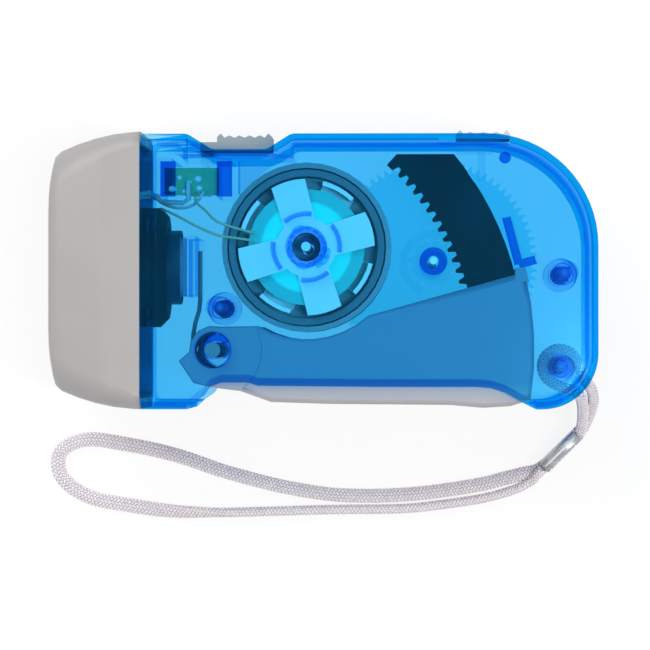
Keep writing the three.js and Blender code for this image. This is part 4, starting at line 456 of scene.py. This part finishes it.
# %% Marks on the casing's faces
def mark_depth(mesh, side):
    """Marks each face with how much plastic lies along the light's way through it, from 0 to 1."""
    corners = [v.co for v in mesh.vertices]
    form = BVHTree.FromPolygons(corners, [p.vertices for p in mesh.polygons])

    def free(place, way):
        """Does nothing of this casing half lie that way?"""
        return form.ray_cast(place + way * CLEAR_OF_FACE, way)[0] is None

    def at_rim(place):
        """Is the outside of the casing close by, across the wall?"""
        for way in (Vector((1, 0, 0)), Vector((-1, 0, 0)), Vector((0, 1, 0)), Vector((0, -1, 0))):
            hit, _, _, reach = form.ray_cast(place, way)
            if hit and reach < RIM * MM and free(hit, way):
                return True
        return False

    def thick(face):
        x, y, z = (c / MM for c in face.center)
        slope = face.normal.z * side
        if x < FLANGE or slope > FLAT_SLOPE:
            return 0.0
        if slope > -FLAT_SLOPE:
            if free(face.center, face.normal):
                return SIDE_TINT if abs(slope) < SIDE_SLOPE else 0.0
            near = min(math.hypot(x - a, y - b) for a, b in BOSS_AXES)
            return BOSS_TINT if near < BOSS_REACH else INNER_TINT
        rim_level = y > SLOT_LEVEL or abs(z - MIDDLE) < PARTING
        if rim_level and at_rim(face.center - face.normal * INTO_RIM):
            return RIM_TINT
        start = face.center - face.normal * CLEAR_OF_FACE
        depth = (form.ray_cast(start, -face.normal)[3] or 0.0) / MM
        share = 1 - math.exp(-max(0.0, depth - WALL) / DEEPENS_OVER)
        if GUSSET[0] < x < GUSSET[1] and y > GUSSET[2]:
            return share * GUSSET_SHARE
        at_rotor = math.hypot(x - ROTOR_AXIS.x / MM, y - ROTOR_AXIS.y / MM) < ROTOR_REACH
        if at_rotor or min(abs(z - end) for end in HOLE_ENDS) < 0.1:
            return share * SOFT_SHARE
        return share if side > 0 else share * FAR_SHARE

    def edge(face):
        """Is it part of the round between the casing's outer side and its flat face?"""
        rounded = SIDE_SLOPE <= face.normal.z * side <= FLAT_SLOPE
        behind_head = face.center.x > FLANGE * MM
        return float(rounded and behind_head and free(face.center, face.normal))

    for rule in (thick, edge):
        marks = mesh.attributes.new(rule.__name__, "FLOAT", "FACE")
        marks.data.foreach_set("value", [rule(face) for face in mesh.polygons])
        print("faces with the mark", rule.__name__, sum(m.value > 0 for m in marks.data))


# %% [markdown]
# ## Smooth copies
#
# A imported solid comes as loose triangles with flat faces. Where a part has round forms, we take a
# copy, merge its corners, and shade it smooth up to an angle, so that fillets look round and edges
# stay crisp. Where a fillet meets a flat face, plain smoothing would tilt the light across the
# whole flat, because its triangles are long. So the flat faces lead: they keep their own direction
# up to their edge, and the fillet starts level with them.
#
# The casing's two rear corners are large arcs of eight facets each, which show in its outline. The
# copies get one more point on each facet, set out on the true arc.
# %% Flats that stay flat
SMOOTH_UP_TO = math.radians(40)
TRULY_FLAT = 0.9995


def lead_with_flats(mesh):
    """Keeps flat faces flat up to their edge, so that a fillet starts level with them."""
    flat = [max(abs(c) for c in face.normal) > TRULY_FLAT for face in mesh.polygons]
    level = {}
    for face in mesh.polygons:
        if flat[face.index]:
            for corner in face.vertices:
                level.setdefault(corner, []).append(face.normal.copy())
    normals = [corner.vector.copy() for corner in mesh.corner_normals]
    for face in mesh.polygons:
        for loop in face.loop_indices:
            beside = level.get(mesh.loops[loop].vertex_index, ())
            near = [n for n in beside if n.dot(face.normal) > math.cos(SMOOTH_UP_TO)]
            if flat[face.index]:
                normals[loop] = face.normal.copy()
            elif near:
                normals[loop] = max(near, key=face.normal.dot)
    mesh.normals_split_custom_set(normals)


# %% Round rear corners
REAR, TOP, BOTTOM = 52.55, 25.8, -27.0
TOP_ROUND, BOTTOM_ROUND = 21.5, 10.75
REAR_CORNERS = ((REAR - TOP_ROUND, TOP - TOP_ROUND, 1),
                (REAR - BOTTOM_ROUND, BOTTOM + BOTTOM_ROUND, -1))
CORNER_STEP = 90 / 8
SMALLEST_ARC = 7.0


def round_corners(form):
    """Halves the facets of the casing's rear corners, and sets the new points on the true arc."""
    out = 1 / math.cos(math.radians(CORNER_STEP / 2))
    for x, y, side in REAR_CORNERS:
        facets = []
        for edge in form.edges:
            a, b = (Vector((v.co.x / MM - x, (v.co.y / MM - y) * side)) for v in edge.verts)
            in_corner = min(a.x, a.y, b.x, b.y) > -0.05
            if in_corner and min(a.length, b.length) > SMALLEST_ARC:
                if abs(math.degrees(a.angle(b)) - CORNER_STEP) < 0.5:
                    facets.append(edge)
        cut = bmesh.ops.subdivide_edges(form, edges=facets, cuts=1)
        for item in cut["geom_inner"]:
            if isinstance(item, bmesh.types.BMVert):
                item.co.x = x * MM + (item.co.x - x * MM) * out
                item.co.y = y * MM + (item.co.y - y * MM) * out
        print("corner at", round(x, 1), round(y, 1), "has", len(facets), "finer facet edges")
    bmesh.ops.triangulate(form, faces=[f for f in form.faces if len(f.verts) > 3])


# %% Smooth copies
SAME_CORNER, SLIVER = 0.002 * MM, 0.0005 * MM


def smooth_copy(node, material):
    """A merged and smooth copy of a solid, which stands for it."""
    mesh = NODES[node].data.copy()
    form = bmesh.new()
    form.from_mesh(mesh)
    bmesh.ops.remove_doubles(form, verts=form.verts, dist=SAME_CORNER)
    bmesh.ops.dissolve_degenerate(form, edges=form.edges, dist=SLIVER)
    if node in CASING_SIDE:
        round_corners(form)
    form.to_mesh(mesh)
    form.free()
    mesh.shade_smooth()
    mesh.set_sharp_from_angle(angle=SMOOTH_UP_TO)
    lead_with_flats(mesh)
    if node in CASING_SIDE:
        mark_depth(mesh, CASING_SIDE[node])
    return piece(node + "_look", mesh, material, BODY_OF[node], node)


FINISH_OF = {
    "blue_clear": BLUE_CLEAR, "warm_grey": WARM_GREY, "lever_grey": LEVER_GREY, "steel": STEEL,
    "black_plastic": BLACK_PLASTIC, "white_nylon": WHITE_NYLON, "teal_plastic": TEAL_PLASTIC,
    "dark_steel": DARK_STEEL, "ferrite": FERRITE, "clear": CLEAR, "mirror": MIRROR,
    "copper": COPPER, "green_board": GREEN_BOARD, "wire_white": WIRE_WHITE,
    "clear_nylon": CLEAR_NYLON,
}
LOOK_OF = {
    "stator_front_plate": NICKEL, "stator_back_plate": NICKEL, "rotor_shaft": NICKEL,
    "case_screw_1": NICKEL, "case_screw_2": NICKEL, "case_screw_3": NICKEL,
    "switch_body": NICKEL, "gear_axle": AXLE_END, "pivot_pin": DARK_STEEL,
    "coil_wire_1": ENAMEL, "coil_wire_2": ENAMEL, "lock_slider": LOCK_GREY,
    "power_knob": POWER_GREY, "switch_slider": POWER_GREY, "drive_gear": GEAR_NYLON_WITH_SHADE,
    "battery_sleeve": SLEEVE_FILM,
}
STRAP_NODES = ("strap_small_loop", "strap_big_loop", "strap_ferrule")
for node in NODES:
    if node not in STRAP_NODES:
        smooth_copy(node, LOOK_OF.get(node) or FINISH_OF[SLOT_OF[node]])
print(len(NODES) - len(STRAP_NODES), "solids dressed")

# %% [markdown]
# ## Small things that repeat
#
# Stitches, solder dots and the teeth of the strap's clamp are all one rounded grain, put down many
# times. Geometry Nodes do this well: each point of a small mesh carries two directions, along which
# a grain lies and away from which it faces, and the tree sets a grain on each. A second tree stacks
# the turns of the coil.
# %% Trees for what repeats
class Tree:
    """A Geometry Nodes tree with named inputs."""

    def __init__(self, name, **sizes):
        self.group = bpy.data.node_groups.new(name, "GeometryNodeTree")
        self.sockets = {}
        self.entry = self.group.nodes.new("NodeGroupInput")
        face = self.group.interface
        for key, kind in sizes.items():
            self.sockets[key] = face.new_socket(
                name=key, in_out="INPUT", socket_type="NodeSocket" + kind)
        face.new_socket(name="Geometry", in_out="OUTPUT", socket_type="NodeSocketGeometry")

    def given(self, key):
        return self.entry.outputs[key]

    def node(self, kind, settings=None, inputs=None, output=0):
        """Adds a node, and gives back one of its outputs."""
        node = self.group.nodes.new(kind)
        for key, value in (settings or {}).items():
            setattr(node, key, value)
        for key, value in (inputs or {}).items():
            if isinstance(value, bpy.types.NodeSocket):
                self.group.links.new(value, node.inputs[key])
            else:
                node.inputs[key].default_value = value
        return node.outputs[output]

    def done(self, instances):
        """Ends the tree: real faces, smooth, in the given material."""
        solid = self.node("GeometryNodeRealizeInstances", None, {0: instances})
        smooth = self.node("GeometryNodeSetShadeSmooth", None, {"Geometry": solid})
        dressed = self.node("GeometryNodeSetMaterial", None,
                            {"Geometry": smooth, "Material": self.given("Material")})
        leave = self.group.nodes.new("NodeGroupOutput")
        self.group.links.new(dressed, leave.inputs[0])

    def grow(self, mesh, **values):
        """Runs the tree on a mesh and gives back the plain mesh that it makes."""
        thing = bpy.data.objects.new(mesh.name, mesh)
        bpy.context.scene.collection.objects.link(thing)
        modifier = thing.modifiers.new("grow", "NODES")
        modifier.node_group = self.group
        for key, value in values.items():
            modifier[self.sockets[key].identifier] = value
        ready = thing.evaluated_get(bpy.context.evaluated_depsgraph_get())
        grown = bpy.data.meshes.new_from_object(ready)
        bpy.data.objects.remove(thing)
        return grown


print("trees can be built")

# %% The grains' tree
grains = Tree("grains", Geometry="Geometry", Length="Float", Width="Float", Height="Float",
              Uneven="Float", Segments="Int", Rings="Int", Seed="Int", Material="Material")
ball = grains.node("GeometryNodeMeshUVSphere", None, {
    "Segments": grains.given("Segments"), "Rings": grains.given("Rings"), "Radius": 0.5})
lie, out = (grains.node("GeometryNodeInputNamedAttribute", {"data_type": "FLOAT_VECTOR"},
                        {"Name": key}) for key in ("lie", "out"))
laid = grains.node("FunctionNodeAlignRotationToVector", {"axis": "X"}, {"Vector": lie})
turned = grains.node("FunctionNodeAlignRotationToVector", {"axis": "Z", "pivot_axis": "X"},
                     {"Rotation": laid, "Vector": out})
size = grains.node("ShaderNodeCombineXYZ", None, {
    0: grains.given("Length"), 1: grains.given("Width"), 2: grains.given("Height")})
least, most = (grains.node("ShaderNodeMath", {"operation": operation},
                           {0: 1.0, 1: grains.given("Uneven")})
               for operation in ("SUBTRACT", "ADD"))
chance = grains.node("FunctionNodeRandomValue", None,
                     {2: least, 3: most, "Seed": grains.given("Seed")}, 1)
scaled = grains.node("ShaderNodeVectorMath", {"operation": "SCALE"}, {0: size, "Scale": chance})
grains.done(grains.node("GeometryNodeInstanceOnPoints", None, {
    "Points": grains.given("Geometry"), "Instance": ball, "Rotation": turned, "Scale": scaled}))
print("tree", grains.group.name, "with", len(grains.group.nodes), "nodes")

# %% The coil's tree
coils = Tree("coils", Geometry="Geometry", Radius="Float", Wire="Float", Material="Material")
hoop = coils.node("GeometryNodeCurvePrimitiveCircle", None,
                  {"Resolution": 56, "Radius": coils.given("Radius")})
round_wire = coils.node("GeometryNodeCurvePrimitiveCircle", None,
                        {"Resolution": 6, "Radius": coils.given("Wire")})
turn_of_wire = coils.node("GeometryNodeCurveToMesh", None,
                          {"Curve": hoop, "Profile Curve": round_wire})
coils.done(coils.node("GeometryNodeInstanceOnPoints", None,
                      {"Points": coils.given("Geometry"), "Instance": turn_of_wire}))
print("tree", coils.group.name, "with", len(coils.group.nodes), "nodes")


# %% Spots for grains
def spots(name, rows):
    """A mesh of bare points from rows of place, lie and out, in metres."""
    mesh = bpy.data.meshes.new(name)
    mesh.from_pydata([row[0] for row in rows], [], [])
    for index, key in ((1, "lie"), (2, "out")):
        layer = mesh.attributes.new(key, "FLOAT_VECTOR", "POINT")
        layer.data.foreach_set("vector", [c for row in rows for c in row[index]])
    return mesh


def grow_grains(name, rows, sizes, uneven, shape, seed, material):
    """The mesh of a grain on each row. `shape` is the ball's segments and rings."""
    length, width, height = (size * MM for size in sizes)
    return grains.grow(spots(name, rows), Length=length, Width=width, Height=height,
                       Uneven=uneven, Segments=shape[0], Rings=shape[1], Seed=seed,
                       Material=material)


def grain_piece(name, rows, sizes, material, uneven=0.1, shape=(10, 6)):
    mesh = grow_grains(name, rows, sizes, uneven, shape, 7, material)
    print(name, len(rows), "grains,", len(mesh.polygons), "faces")
    return piece(name, mesh, material, "casing")


# %% [markdown]
# ## Coil, solder and light chips
#
# Between the stator's plates the bobbin carries about a thousand turns of enamelled wire. We show
# the outermost layer. Bright dots of solder hold the wires on both boards, each light has a yellow
# chip in its cup, and a rough bead of melted plastic runs round the rotor's boss. The trees make
# them all, because each is one small shape put down again and again.
# %% Coil
COIL_LEVEL, COIL_PITCH, COIL_TURNS = 23.55, 0.26, 16
COIL_RADIUS, WIRE_RADIUS = 9.62, 0.12
UP, AHEAD, BACK = Vector((0, 0, 1)), Vector((1, 0, 0)), Vector((-1, 0, 0))

turns = bpy.data.meshes.new("coil_turns")
turns.from_pydata([tuple(ROTOR_AXIS + UP * (COIL_LEVEL + COIL_PITCH * i) * MM)
                   for i in range(COIL_TURNS)], [], [])
turns = coils.grow(turns, Radius=COIL_RADIUS * MM, Wire=WIRE_RADIUS * MM, Material=COPPER)
piece("coil_turns", turns, COPPER, "casing")
print(COIL_TURNS, "turns of wire,", len(turns.polygons), "faces")

# %% Solder
BOARD_DOTS = [(-24.6, 17.6), (-24.4, 15.8), (-26.4, 16.9), (-28.3, 17.9), (-29.6, 15.7),
              (-27.3, 15.2)]
LIGHTS = [(-2.45, 20.55), (-2.45, 13.45), (3.7, 17.0)]
LIGHT_BOARD, LEG = -38.85, 1.27

board_top = max(v.co.z for v in NODES["switch_board"].data.vertices)
grain_piece("solder_switch",
            [(Vector((x * MM, y * MM, board_top)), AHEAD, UP) for x, y in BOARD_DOTS],
            (1.5, 1.2, 0.9), NICKEL, uneven=0.25)
grain_piece("solder_head",
            [(Vector((LIGHT_BOARD, y + leg, z)) * MM, UP, AHEAD)
             for y, z in LIGHTS for leg in (-LEG, LEG)],
            (1.4, 1.4, 0.9), NICKEL, uneven=0.2)

# %% Weld bead and light chips
LIGHT_CUP = -44.2
WELD_LEVEL = 30.0
WELD_RING = [(0.5 * k, 3.5 + 0.3 * math.sin(5 * k)) for k in range(13)]
WELD_BLOBS = [(-0.95, 4.3), (-0.6, 4.4), (-0.3, 4.2)]

weld = []
for angle, reach in WELD_RING + WELD_BLOBS:
    way = Vector((math.cos(angle), math.sin(angle), 0))
    weld.append((ROTOR_AXIS + (way * reach + UP * WELD_LEVEL) * MM, way.cross(UP), UP))
grain_piece("weld_at_rotor", weld, (1.9, 0.9, 0.7), BLUE_CLEAR, uneven=0.4)
grain_piece("light_chips", [(Vector((LIGHT_CUP, y, z)) * MM, UP, BACK) for y, z in LIGHTS],
            (1.2, 1.2, 0.5), PHOSPHOR, uneven=0.02)

# %% [markdown]
# ## The wrist strap
#
# The strap is a flat braid about 3 mm wide and 2 mm thick. Seen close, it is ten columns of small
# slanted stitches, and two neighbouring columns lean towards each other and make chevrons. We sweep
# an oval core along a smooth curve and lay a grain for each stitch on it. The oval rolls slowly: it
# lies flat in the left bend and stands on edge on the lower strand to the right.
# %% Strap route
SMALL_LOOP = [
    (50.41, -31.94, 7.96), (50.7, -30.3, 9.6), (50.7, -28.0, 12), (50.4, -26.0, 14.6),
    (49.6, -24.3, 16.8), (47.2, -23.3, 17), (44.38, -21.94, 17), (42.96, -20.6, 17),
    (42.5, -18.78, 17), (43.11, -16.95, 17), (45.02, -15.62, 17), (47.34, -15.82, 17),
    (48.98, -17.46, 17), (50.1, -19.9, 17), (51.1, -21.8, 16.8), (52.2, -23.4, 15.3),
    (52.7, -25.4, 12.9), (52.4, -27.6, 10.2), (51.7, -29.7, 7.6), (51.03, -31.3, 5.74),
]
BIG_LOOP = [
    (43.17, -39.4, 3.76), (42.2, -40.5, 3.1), (40.6, -42.1, 2.2), (36.8, -43.9, 1.4),
    (30.75, -45.5, 1.25), (22, -46.8, 1.25), (14.7, -47.5, 1.25), (0.6, -47.7, 1.25),
    (-13, -48.1, 1.25), (-22, -48.3, 1.25), (-31.6, -48.0, 1.25), (-40.2, -46.8, 1.25),
    (-46.5, -45.6, 1.25), (-50.6, -43.7, 1.25), (-53.2, -41.4, 1.25), (-54.1, -38.85, 1.25),
    (-53.6, -36.2, 1.25), (-51, -34.3, 1.25), (-46.9, -33.65, 1.25), (-41, -34.5, 1.25),
    (-33.9, -35.9, 1.25), (-27.9, -37.55, 1.25), (-22, -39.6, 1.25), (-15.7, -41.4, 1.25),
    (-8.2, -43.2, 1.25), (0.6, -44.6, 1.25), (8, -44.9, 1.25), (14.7, -44.7, 1.25),
    (22, -44.0, 1.25), (30.75, -42.6, 1.25), (36, -41.3, 1.25), (39.5, -40.4, 1.25),
    (42, -39.9, 1.3), (43.79, -38.76, 1.54),
]
SPLITS = 24


def walk(points):
    """The length walked at each point of a line."""
    walked = [0.0]
    for a, b in zip(points, points[1:]):
        walked.append(walked[-1] + (b - a).length)
    return walked


def along(points, step):
    """A smooth curve through the points, as places a fixed step apart, and its length."""
    dense = []
    last = len(points) - 1
    for i in range(last):
        before, here, there, after = (
            Vector(points[min(max(k, 0), last)]) for k in (i - 1, i, i + 1, i + 2))
        bend = 2 * before - 5 * here + 4 * there - after
        twist = 3 * here - before - 3 * there + after
        for k in range(SPLITS):
            t = k / SPLITS
            dense.append(0.5 * (2 * here + (there - before) * t + bend * t ** 2 + twist * t ** 3))
    dense.append(Vector(points[-1]))
    walked = walk(dense)
    count = max(2, round(walked[-1] / step))
    places, k = [], 0
    for i in range(count + 1):
        goal = walked[-1] * i / count
        while k < len(dense) - 2 and walked[k + 1] < goal:
            k += 1
        share = (goal - walked[k]) / (walked[k + 1] - walked[k])
        places.append(dense[k].lerp(dense[k + 1], share))
    return places, walked[-1]


for name, points in (("big loop", BIG_LOOP), ("small loop", SMALL_LOOP)):
    print(name, round(along(points, 1)[1], 1), "mm")

# %% How the braid lies
ROLL_STARTS, ROLL_GROWS_OVER = -36, 16
LOWER_ROLL, UPPER_ROLL, SMALL_ROLL = 90, 24, 20.0
ON_FLOOR, FLOOR_GAP = 1.26, 0.1


def big_roll(centre, share):
    """Degrees that the big loop is rolled: flat to the left, on edge low down on the right."""
    edge = min(1.0, max(0.0, (centre.x - ROLL_STARTS) / ROLL_GROWS_OVER))
    return (LOWER_ROLL if share < 0.5 else UPPER_ROLL) * edge


def small_roll(centre, share):
    """Degrees that the small loop is rolled, which is the same all along."""
    return SMALL_ROLL


def frames(route, wide, thick, roll_of, step):
    """Places along the braid with the directions ahead, across and above at each."""
    places, length = along(route, step)
    last = len(places) - 1
    rows = []
    for i, centre in enumerate(places):
        ahead = (places[min(i + 1, last)] - places[max(i - 1, 0)]).normalized()
        side = ahead.cross(UP).normalized()
        up = side.cross(ahead)
        roll = math.radians(roll_of(centre, i / last))
        across = side * math.cos(roll) + up * math.sin(roll)
        above = up * math.cos(roll) - side * math.sin(roll)
        lift = math.hypot(wide / 2 * math.sin(roll), thick / 2 * math.cos(roll)) + FLOOR_GAP
        level = max(centre.z, lift) if centre.z > ON_FLOOR else lift
        rows.append((Vector((centre.x, centre.y, level)), ahead, across, above))
    return rows, length


print("the big loop rolls up to", LOWER_ROLL, "degrees")

# %% Yarn
GROOVE = 0.22


def braid_yarn():
    """Off-white yarn, a little pink, with painted grey-blue shade deep between the stitches."""
    finish = Finish("braid")
    yarn = finish.mix(finish.noise(1.5 * MM, 2), colour("fff5f3"), colour("f0e6ea"))
    fibres = finish.noise(0.08 * MM, 2)
    return finish.done(finish.surface({
        # painted shade: the yarn turns grey-blue in the grooves between the stitches
        "Base Color": finish.mix(finish.mark("depth") * 0.75, yarn, colour("b4bac6")),
        "Roughness": finish.spread(fibres, 0.3, 0.7, 0.75, 0.9),
        "Normal": finish.bump(fibres, 0.02 * MM)}))


def mark_groove_shade(mesh, rows, wide, thick):
    """Marks how far each corner lies below the crest of the stitches, from 0 to 1, for the painted
    shade between them.
    """
    tree = KDTree(len(rows))
    for i, row in enumerate(rows):
        tree.insert(row[0] * MM, i)
    tree.balance()
    marks = []
    for corner in mesh.vertices:
        centre, ahead, across, above = rows[tree.find(corner.co)[1]]
        off = corner.co / MM - centre
        reach = math.hypot(off.dot(across) / (wide / 2), off.dot(above) / (thick / 2))
        marks.append(min(1.0, max(0.0, (1.0 - reach) / GROOVE)))
    mesh.attributes.new("depth", "FLOAT", "POINT").data.foreach_set("value", marks)


BRAID = braid_yarn()
# painted shade: the core is grey-blue and shows between the stitches
BRAID_CORE_SHADE = plastic("braid_core", "bcc2cc", 0.9, cloud=1.2 * MM, grain=0.1 * MM,
                     depth=0.03 * MM)
print("yarn made")

# %% Braid
STITCH = 0.72
STITCH_SIZES = (1.16, 0.5, 0.5)
COLUMNS = 10
SLANT = math.radians(48)
CORE_SINK = 0.26
RING = 16
FINE_TURN = 720
PATH_STEP = 6


def oval_turns(wide, thick):
    """Angles round an oval that lie the same length apart."""
    angles = [2 * math.pi * k / FINE_TURN for k in range(FINE_TURN + 1)]
    walked = walk([Vector((math.cos(a) * wide, math.sin(a) * thick)) for a in angles])
    goals = [walked[-1] * (k + 0.5) / COLUMNS for k in range(COLUMNS)]
    return [angles[next(k for k, w in enumerate(walked) if w >= goal)] for goal in goals]


def braid_core(name, rows, half, deep):
    """The closed oval tube under the stitches."""
    corners, faces = [], []
    for centre, ahead, across, above in rows:
        for k in range(RING):
            turn = 2 * math.pi * k / RING
            point = centre + across * math.cos(turn) * half + above * math.sin(turn) * deep
            corners.append(point * MM)
    for i in range(len(rows) - 1):
        for k in range(RING):
            a, b = i * RING + k, i * RING + (k + 1) % RING
            faces.append((a, b, b + RING, a + RING))
    faces.append(tuple(range(RING))[::-1])
    faces.append(tuple((len(rows) - 1) * RING + k for k in range(RING)))
    core = bpy.data.meshes.new(name + "_core")
    core.from_pydata(corners, [], faces)
    return core


def stitch_rows(rows, wide, thick, half, deep):
    """Where each stitch lies. Every second column starts half a stitch later and leans back."""
    stitches = []
    for column, turn in enumerate(oval_turns(wide, thick)):
        lean = 1 if column % 2 else -1
        for centre, ahead, across, above in rows[column % 2::2]:
            outside = (across * math.cos(turn) * thick + above * math.sin(turn) * wide).normalized()
            place = centre + across * math.cos(turn) * half + above * math.sin(turn) * deep
            lie = ahead * math.cos(SLANT) + outside.cross(ahead) * math.sin(SLANT) * lean
            stitches.append((place * MM, lie, outside))
    return stitches


def braid(name, route, wide, thick, roll_of, node):
    """A braided strand, its path and its length, in metres."""
    rows, length = frames(route, wide, thick, roll_of, STITCH / 2)
    half, deep = wide / 2 - CORE_SINK, thick / 2 - CORE_SINK
    stitches = stitch_rows(rows, wide, thick, half, deep)
    grown = grow_grains(name, stitches, STITCH_SIZES, 0.07, (6, 4), 3, BRAID)
    form = bmesh.new()
    form.from_mesh(braid_core(name, rows, half, deep))
    bmesh.ops.recalc_face_normals(form, faces=form.faces)
    for face in form.faces:
        face.material_index = 1
    form.from_mesh(grown)
    mesh = bpy.data.meshes.new(name)
    form.to_mesh(mesh)
    form.free()
    mesh.shade_smooth()
    mark_groove_shade(mesh, rows, wide, thick)
    thing = piece(name, mesh, BRAID, "casing", node)
    mesh.materials.append(BRAID_CORE_SHADE)
    print(name, len(stitches), "stitches,", round(length, 1), "mm")
    path = [tuple(row[0] * MM) for row in rows[::PATH_STEP] + [rows[-1]]]
    return thing, path, length * MM


big_loop, big_path, big_length = braid(
    "strap_big", BIG_LOOP, 3.0, 2.0, big_roll, "strap_big_loop")
small_loop, small_path, small_length = braid(
    "strap_small", SMALL_LOOP, 2.4, 1.9, small_roll, "strap_small_loop")

# %% [markdown]
# ## The clamp on the strap
#
# A strip of bright steel is folded round the four strands and squeezed. It shows a bright ridge on
# top, and a row of teeth along the flap that faces the floor. The folded strip is a solid already,
# so that only the ridge and the teeth are added, as grains in a row.
# %% Clamp
CLAMP_START, CLAMP_END = Vector((44.0, -38.55, 2.95)), Vector((50.2, -32.15, 6.55))
TOOTH_START, TOOTH_PITCH, TEETH = 0.9, 1.02, 8
TOOTH_ASIDE, TOOTH_RISE = -1.15, 2.2
RIDGE_ASIDE, RIDGE_RISE, RIDGE_SHARE = 0.1, 2.45, 0.97

ferrule = smooth_copy("strap_ferrule", STEEL)
length = (CLAMP_END - CLAMP_START).length
run = (CLAMP_END - CLAMP_START).normalized()
aside = UP.cross(run).normalized()
rise = run.cross(aside)


def on_clamp(t, sideways, upwards):
    """A place on the clamp, `t` millimetres along it."""
    return (CLAMP_START + run * t + aside * sideways + rise * upwards) * MM


teeth = [(on_clamp(TOOTH_START + TOOTH_PITCH * k, TOOTH_ASIDE, TOOTH_RISE), aside, rise)
         for k in range(TEETH)]
teeth_piece = grain_piece("clamp_teeth", teeth, (0.6, 0.26, 0.4), NICKEL)
ridge = [(on_clamp(length / 2, RIDGE_ASIDE, RIDGE_RISE), run, rise)]
ridge_piece = grain_piece("clamp_ridge", ridge, (length * RIDGE_SHARE, 0.5, 0.4), NICKEL,
                          uneven=0.0, shape=(24, 12))

# %% [markdown]
# ## What the strap is
#
# Both loops are cords. The braid function gives each loop its path and its length, and here the two
# lengths are added up.
print("cords declared,", round(small_length + big_length, 3), "m in all")

# %% [markdown]
# ## Floor and light
#
# The floor is white paper. Seen by the camera, by glossy and by clear surfaces it glows a little,
# which keeps it white and still lets it hold the shadow. One big soft lamp stands beyond the head,
# and a narrow strip lamp beside the rear draws the streak on the casing's edge.
# %% Floor
PAPER_GLOW = 0.85
BELOW = 0.02 * MM
HALF_FLOOR = 3.0


def floor_material():
    finish = Finish("paper")
    camera_ray, glossy_ray, passing_ray = (
        finish.node("ShaderNodeLightPath", output="Is %s Ray" % kind)
        for kind in ("Camera", "Glossy", "Transmission"))
    seen = camera_ray.sum("MAXIMUM", camera_ray, glossy_ray)
    seen = seen.sum("MAXIMUM", seen, passing_ray)
    paper = finish.surface({
        "Base Color": (0.95, 0.95, 0.95, 1), "Roughness": 0.9, "Specular IOR Level": 0.1})
    glow = finish.node("ShaderNodeEmission", None, {"Color": (1, 1, 1, 1), "Strength": 1.0})
    return finish.done(finish.join(seen * PAPER_GLOW, paper, glow))


floor_mesh = bpy.data.meshes.new("floor")
floor_mesh.from_pydata([(x * HALF_FLOOR, y * HALF_FLOOR, -BELOW)
                        for x, y in ((-1, -1), (1, -1), (1, 1), (-1, 1))], [], [(0, 1, 2, 3)])
floor_mesh.materials.append(floor_material())
floor = bpy.data.objects.new("floor", floor_mesh)
bpy.context.scene.collection.objects.link(floor)
print("floor", 2 * HALF_FLOOR, "m wide")

# %% Light
WORLD_LIGHT = 0.5
CLEAR_FACES, BOUNCES = 64, 16


def lamp(name, place, size, power):
    """A rectangular soft lamp that looks at the torch."""
    data = bpy.data.lights.new(name, "AREA")
    data.shape, data.energy = "RECTANGLE", power
    data.size, data.size_y = size
    thing = bpy.data.objects.new(name, data)
    thing.location = place
    thing.rotation_euler = (-Vector(place)).to_track_quat("-Z", "Y").to_euler()
    bpy.context.scene.collection.objects.link(thing)


lamp("key", (-0.7, 0.9, 1.1), (0.9, 0.9), 11.5)
lamp("strip", (0.39, -0.12, 1.1), (0.1, 0.6), 6)
world = bpy.data.worlds.new("studio")
world.use_nodes = True
sky = world.node_tree.nodes["Background"]
sky.inputs["Color"].default_value = (1, 1, 1, 1)
sky.inputs["Strength"].default_value = WORLD_LIGHT
scene = bpy.context.scene
scene.world = world
scene.view_settings.view_transform = "Standard"
scene.cycles.transparent_max_bounces = CLEAR_FACES
scene.cycles.max_bounces = BOUNCES
print("lit by", len(bpy.data.lights), "lamps and the world")
